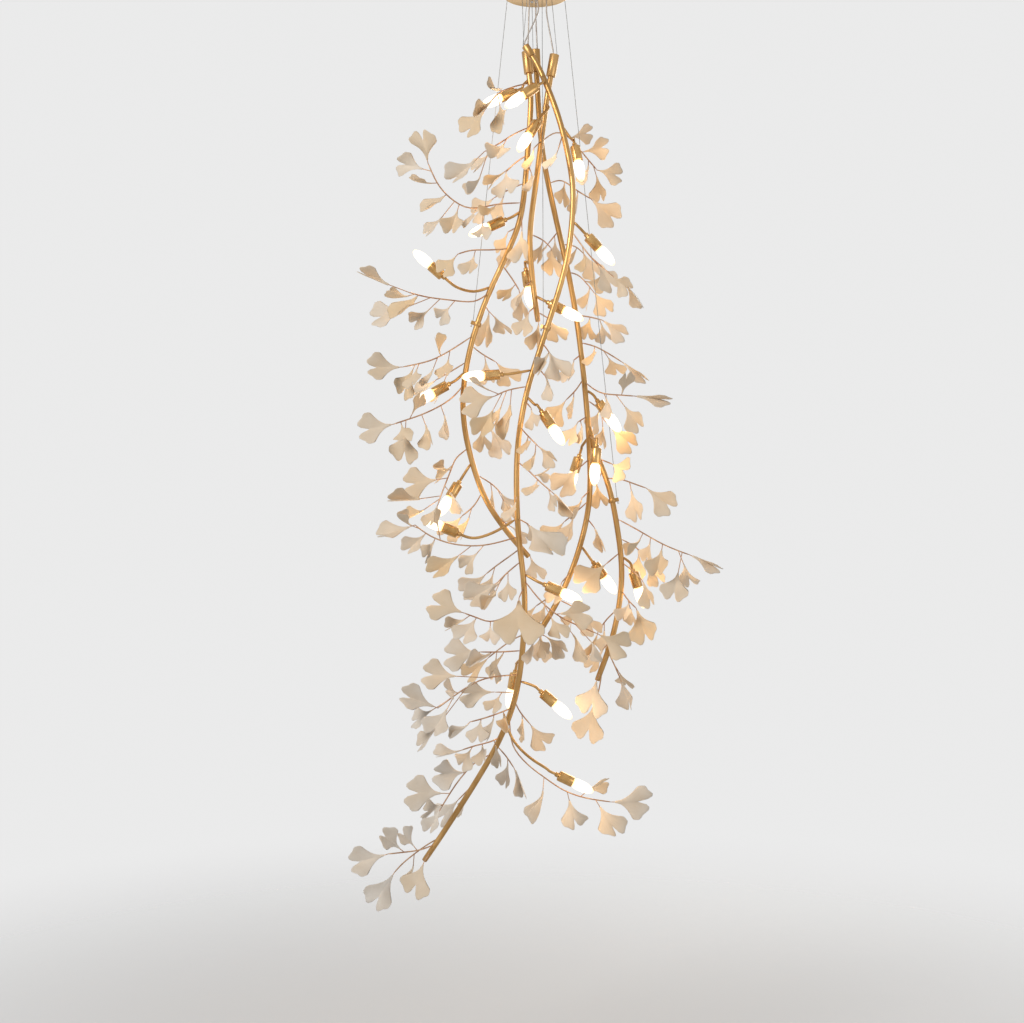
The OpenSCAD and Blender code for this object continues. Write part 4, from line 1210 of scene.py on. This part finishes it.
@dataclass
class Lamps:
    """Slim brass cups with frosted lamps that pull out along their own axes.

    Heights are in millimetres from the back of the cup.
    """

    cup: Turning = Turning((
        (4.3, 0.0), (5.0, 0.6), (5.0, 5.6), (5.5, 6.4), (9.6, 7.6), (10.6, 8.4), (11.0, 9.6),
        (11.0, 39.3), (10.7, 40.0), (9.9, 40.0), (9.5, 39.6), (9.5, 10.0), (0.0, 10.0),
    ), 32)
    glass: Turning = Turning((
        (7.2, 37.5), (7.4, 40.6), (8.6, 42.4), (9.9, 45.2), (10.7, 48.6), (11.0, 53.0), (11.0, 59.0),
        (10.85, 64.0), (10.2, 69.0), (9.1, 74.0), (7.6, 78.5), (5.8, 82.2), (3.7, 85.2), (1.9, 86.6),
        (0.0, 87.0),
    ), 24)
    base: Turning = Turning((
        (0.0, 19.3), (6.4, 19.3), (7.0, 19.9), (7.0, 24.0), (6.6, 24.5), (6.6, 25.5), (7.0, 26.0),
        (7.0, 38.2), (0.0, 38.2),
    ), 20)
    pin: Turning = Turning(((0.0, 11.2), (0.55, 11.3), (0.8, 11.8), (0.8, 20.0), (0.0, 20.0)), 8)
    pin_pitch: float = 9.0
    pin_end: float = 0.1
    mouth_z: float = 40.0
    tip_z: float = 87.0
    glow_z: float = 62.0
    glow_r: float = 0.009
    glow_power: float = 0.13
    glow_tint: Point = (1.0, 0.66, 0.32)

    def lamp(self) -> bpy.types.Object:
        """Models the lamp: glass, ceramic base and two pins.

        Returns:
            The pattern, in a lamp's own frame.
        """
        glass, base = self.glass.shape("glass"), self.base.shape("base")
        dress(glass, FROSTED)
        dress(base, STEATITE)
        parts = [glass, base]
        for side in (-1, 1):
            pin = self.pin.shape("pin")
            pin.data.transform(Matrix.Translation((side * self.pin_pitch / 2 * MM, 0, 0)))
            dress(pin, STEEL)
            parts.append(pin)
        for part in parts:
            along = part.data.attributes.new("along", "FLOAT", "POINT")
            for vertex in part.data.vertices:
                share = (vertex.co.z / MM - self.mouth_z) / (self.tip_z - self.mouth_z)
                along.data[vertex.index].value = share
        lamp = joined("lamp_pattern", parts)
        rounded(lamp)
        return lamp

    def frame_of(self, number: int) -> Matrix:
        """Reads a lamp's frame off its joint and its CAD node.

        Args:
            number: The lamp's number, from 1.

        Returns:
            The lamp's matrix.
        """
        name = f"bulb_{number:02d}"
        joint = next(j for j in frame["joints"] if j["name"] == f"{name}_pull")
        axis = Vector(joint["axis"]).normalized()
        points = [v.co for v in frame["nodes"][name].data.vertices]
        tip = max(points, key=lambda p: p.dot(axis))
        back = min(p.dot(axis) for p in points)
        pins = [p for p in points if p.dot(axis) < back + self.pin_end * MM]
        origin = tip - axis * self.tip_z * MM
        side = max(pins, key=lambda p: (p - middle_of(pins)).length) - middle_of(pins)
        return aimed(origin, axis, side)

    def glow(self, number: int, place: Matrix) -> None:
        """Adds the warm light that a lit lamp throws on the leaves round it.

        Args:
            number: The lamp's number.
            place: The lamp's matrix.
        """
        heart = place @ Vector((0, 0, self.glow_z * MM))
        bpy.ops.object.light_add(type="POINT", location=heart)
        light = bpy.context.object
        light.name = f"glow_{number:02d}"
        light.data.energy = self.glow_power
        light.data.color = self.glow_tint
        light.data.shadow_soft_size = self.glow_r

    def build(self) -> None:
        """Makes every cup and lamp."""
        lamp, cup = self.lamp(), self.cup.shape("cup_pattern")
        rounded(cup)
        cups = []
        for number in range(1, LAMP_COUNT + 1):
            place = self.frame_of(number)
            cups.append(copied(cup, f"cup_{number:02d}", place))
            new = copied(lamp, f"lit_lamp_{number:02d}", place)
            settled(new, f"lamp_{number:02d}", f"bulb_{number:02d}")
            new.visible_shadow = False
            self.glow(number, place)
            LOG.info(new.name)
        row = joined("cups", cups)
        dress(row, CUP_BRASS)
        settled(row, FIXED, "lamp_cups")
        discard(lamp)
        discard(cup)
        LOG.info("cups")


# ---------------------------------------------------------------- fittings that keep their CAD shape


@dataclass(frozen=True)
class Fitting:
    """A CAD node that keeps its shape: its finish, its slot and the rounding of its edges."""

    node: str
    finish: Finish
    slot: str
    edge: float = 0.0004
    segments: int = 2
    sharp_degrees: float = 38.0

    def soften(self) -> None:
        """Rounds the node's edges with modifiers and dresses it."""
        obj = frame["nodes"][self.node]
        weld = obj.modifiers.new("weld", "WELD")
        weld.merge_threshold = SAME_PLACE
        bevel = obj.modifiers.new("edges", "BEVEL")
        bevel.width = self.edge
        bevel.segments = self.segments
        bevel.limit_method = "ANGLE"
        bevel.angle_limit = math.radians(self.sharp_degrees)
        bevel.harden_normals = True
        for place in obj.material_slots:
            place.material = self.finish.material()
        LOG.info(self.node)


@dataclass
class Fittings:
    """Canopy, plate, caps and small fittings, with softened edges and real finishes."""

    kept: tuple[Fitting, ...] = (
        Fitting("canopy", SPUN_BRASS, "brushed_brass", 0.0005),
        Fitting("stem_caps", BRUSHED_BRASS, "brushed_brass", 0.0008),
        Fitting("canopy_screws", CUP_BRASS, "brushed_brass"),
        Fitting("wire_clamps", BRUSHED_BRASS, "brushed_brass"),
        Fitting("ceiling_plate", STEEL, "steel"),
        Fitting("wire_grippers", STEEL, "steel"),
        Fitting("wire_stops", STEEL, "steel", 0.0002),
        Fitting("terminal_block", PALE_PLASTIC, "terminal_plastic"),
        Fitting("cord_glands", PALE_PLASTIC, "gland_plastic", 0.0002),
        Fitting("lamp_holders", STEATITE, "holder_ceramic", 0.0002),
        Fitting("leaf_stalks", TWIG_BRASS, "twig_brass", 0.0001),
    )

    def build(self) -> None:
        """Dresses every node that keeps its shape."""
        for fitting in self.kept:
            fitting.soften()


def main() -> None:
    """Builds the studio and the chandelier."""
    logging.basicConfig(level=logging.INFO, format="%(message)s")
    Studio().build()
    Suspension().build()
    Tubes().build()
    Leaves().build()
    Lamps().build()
    Fittings().build()


if __name__ == "__main__":
    main()
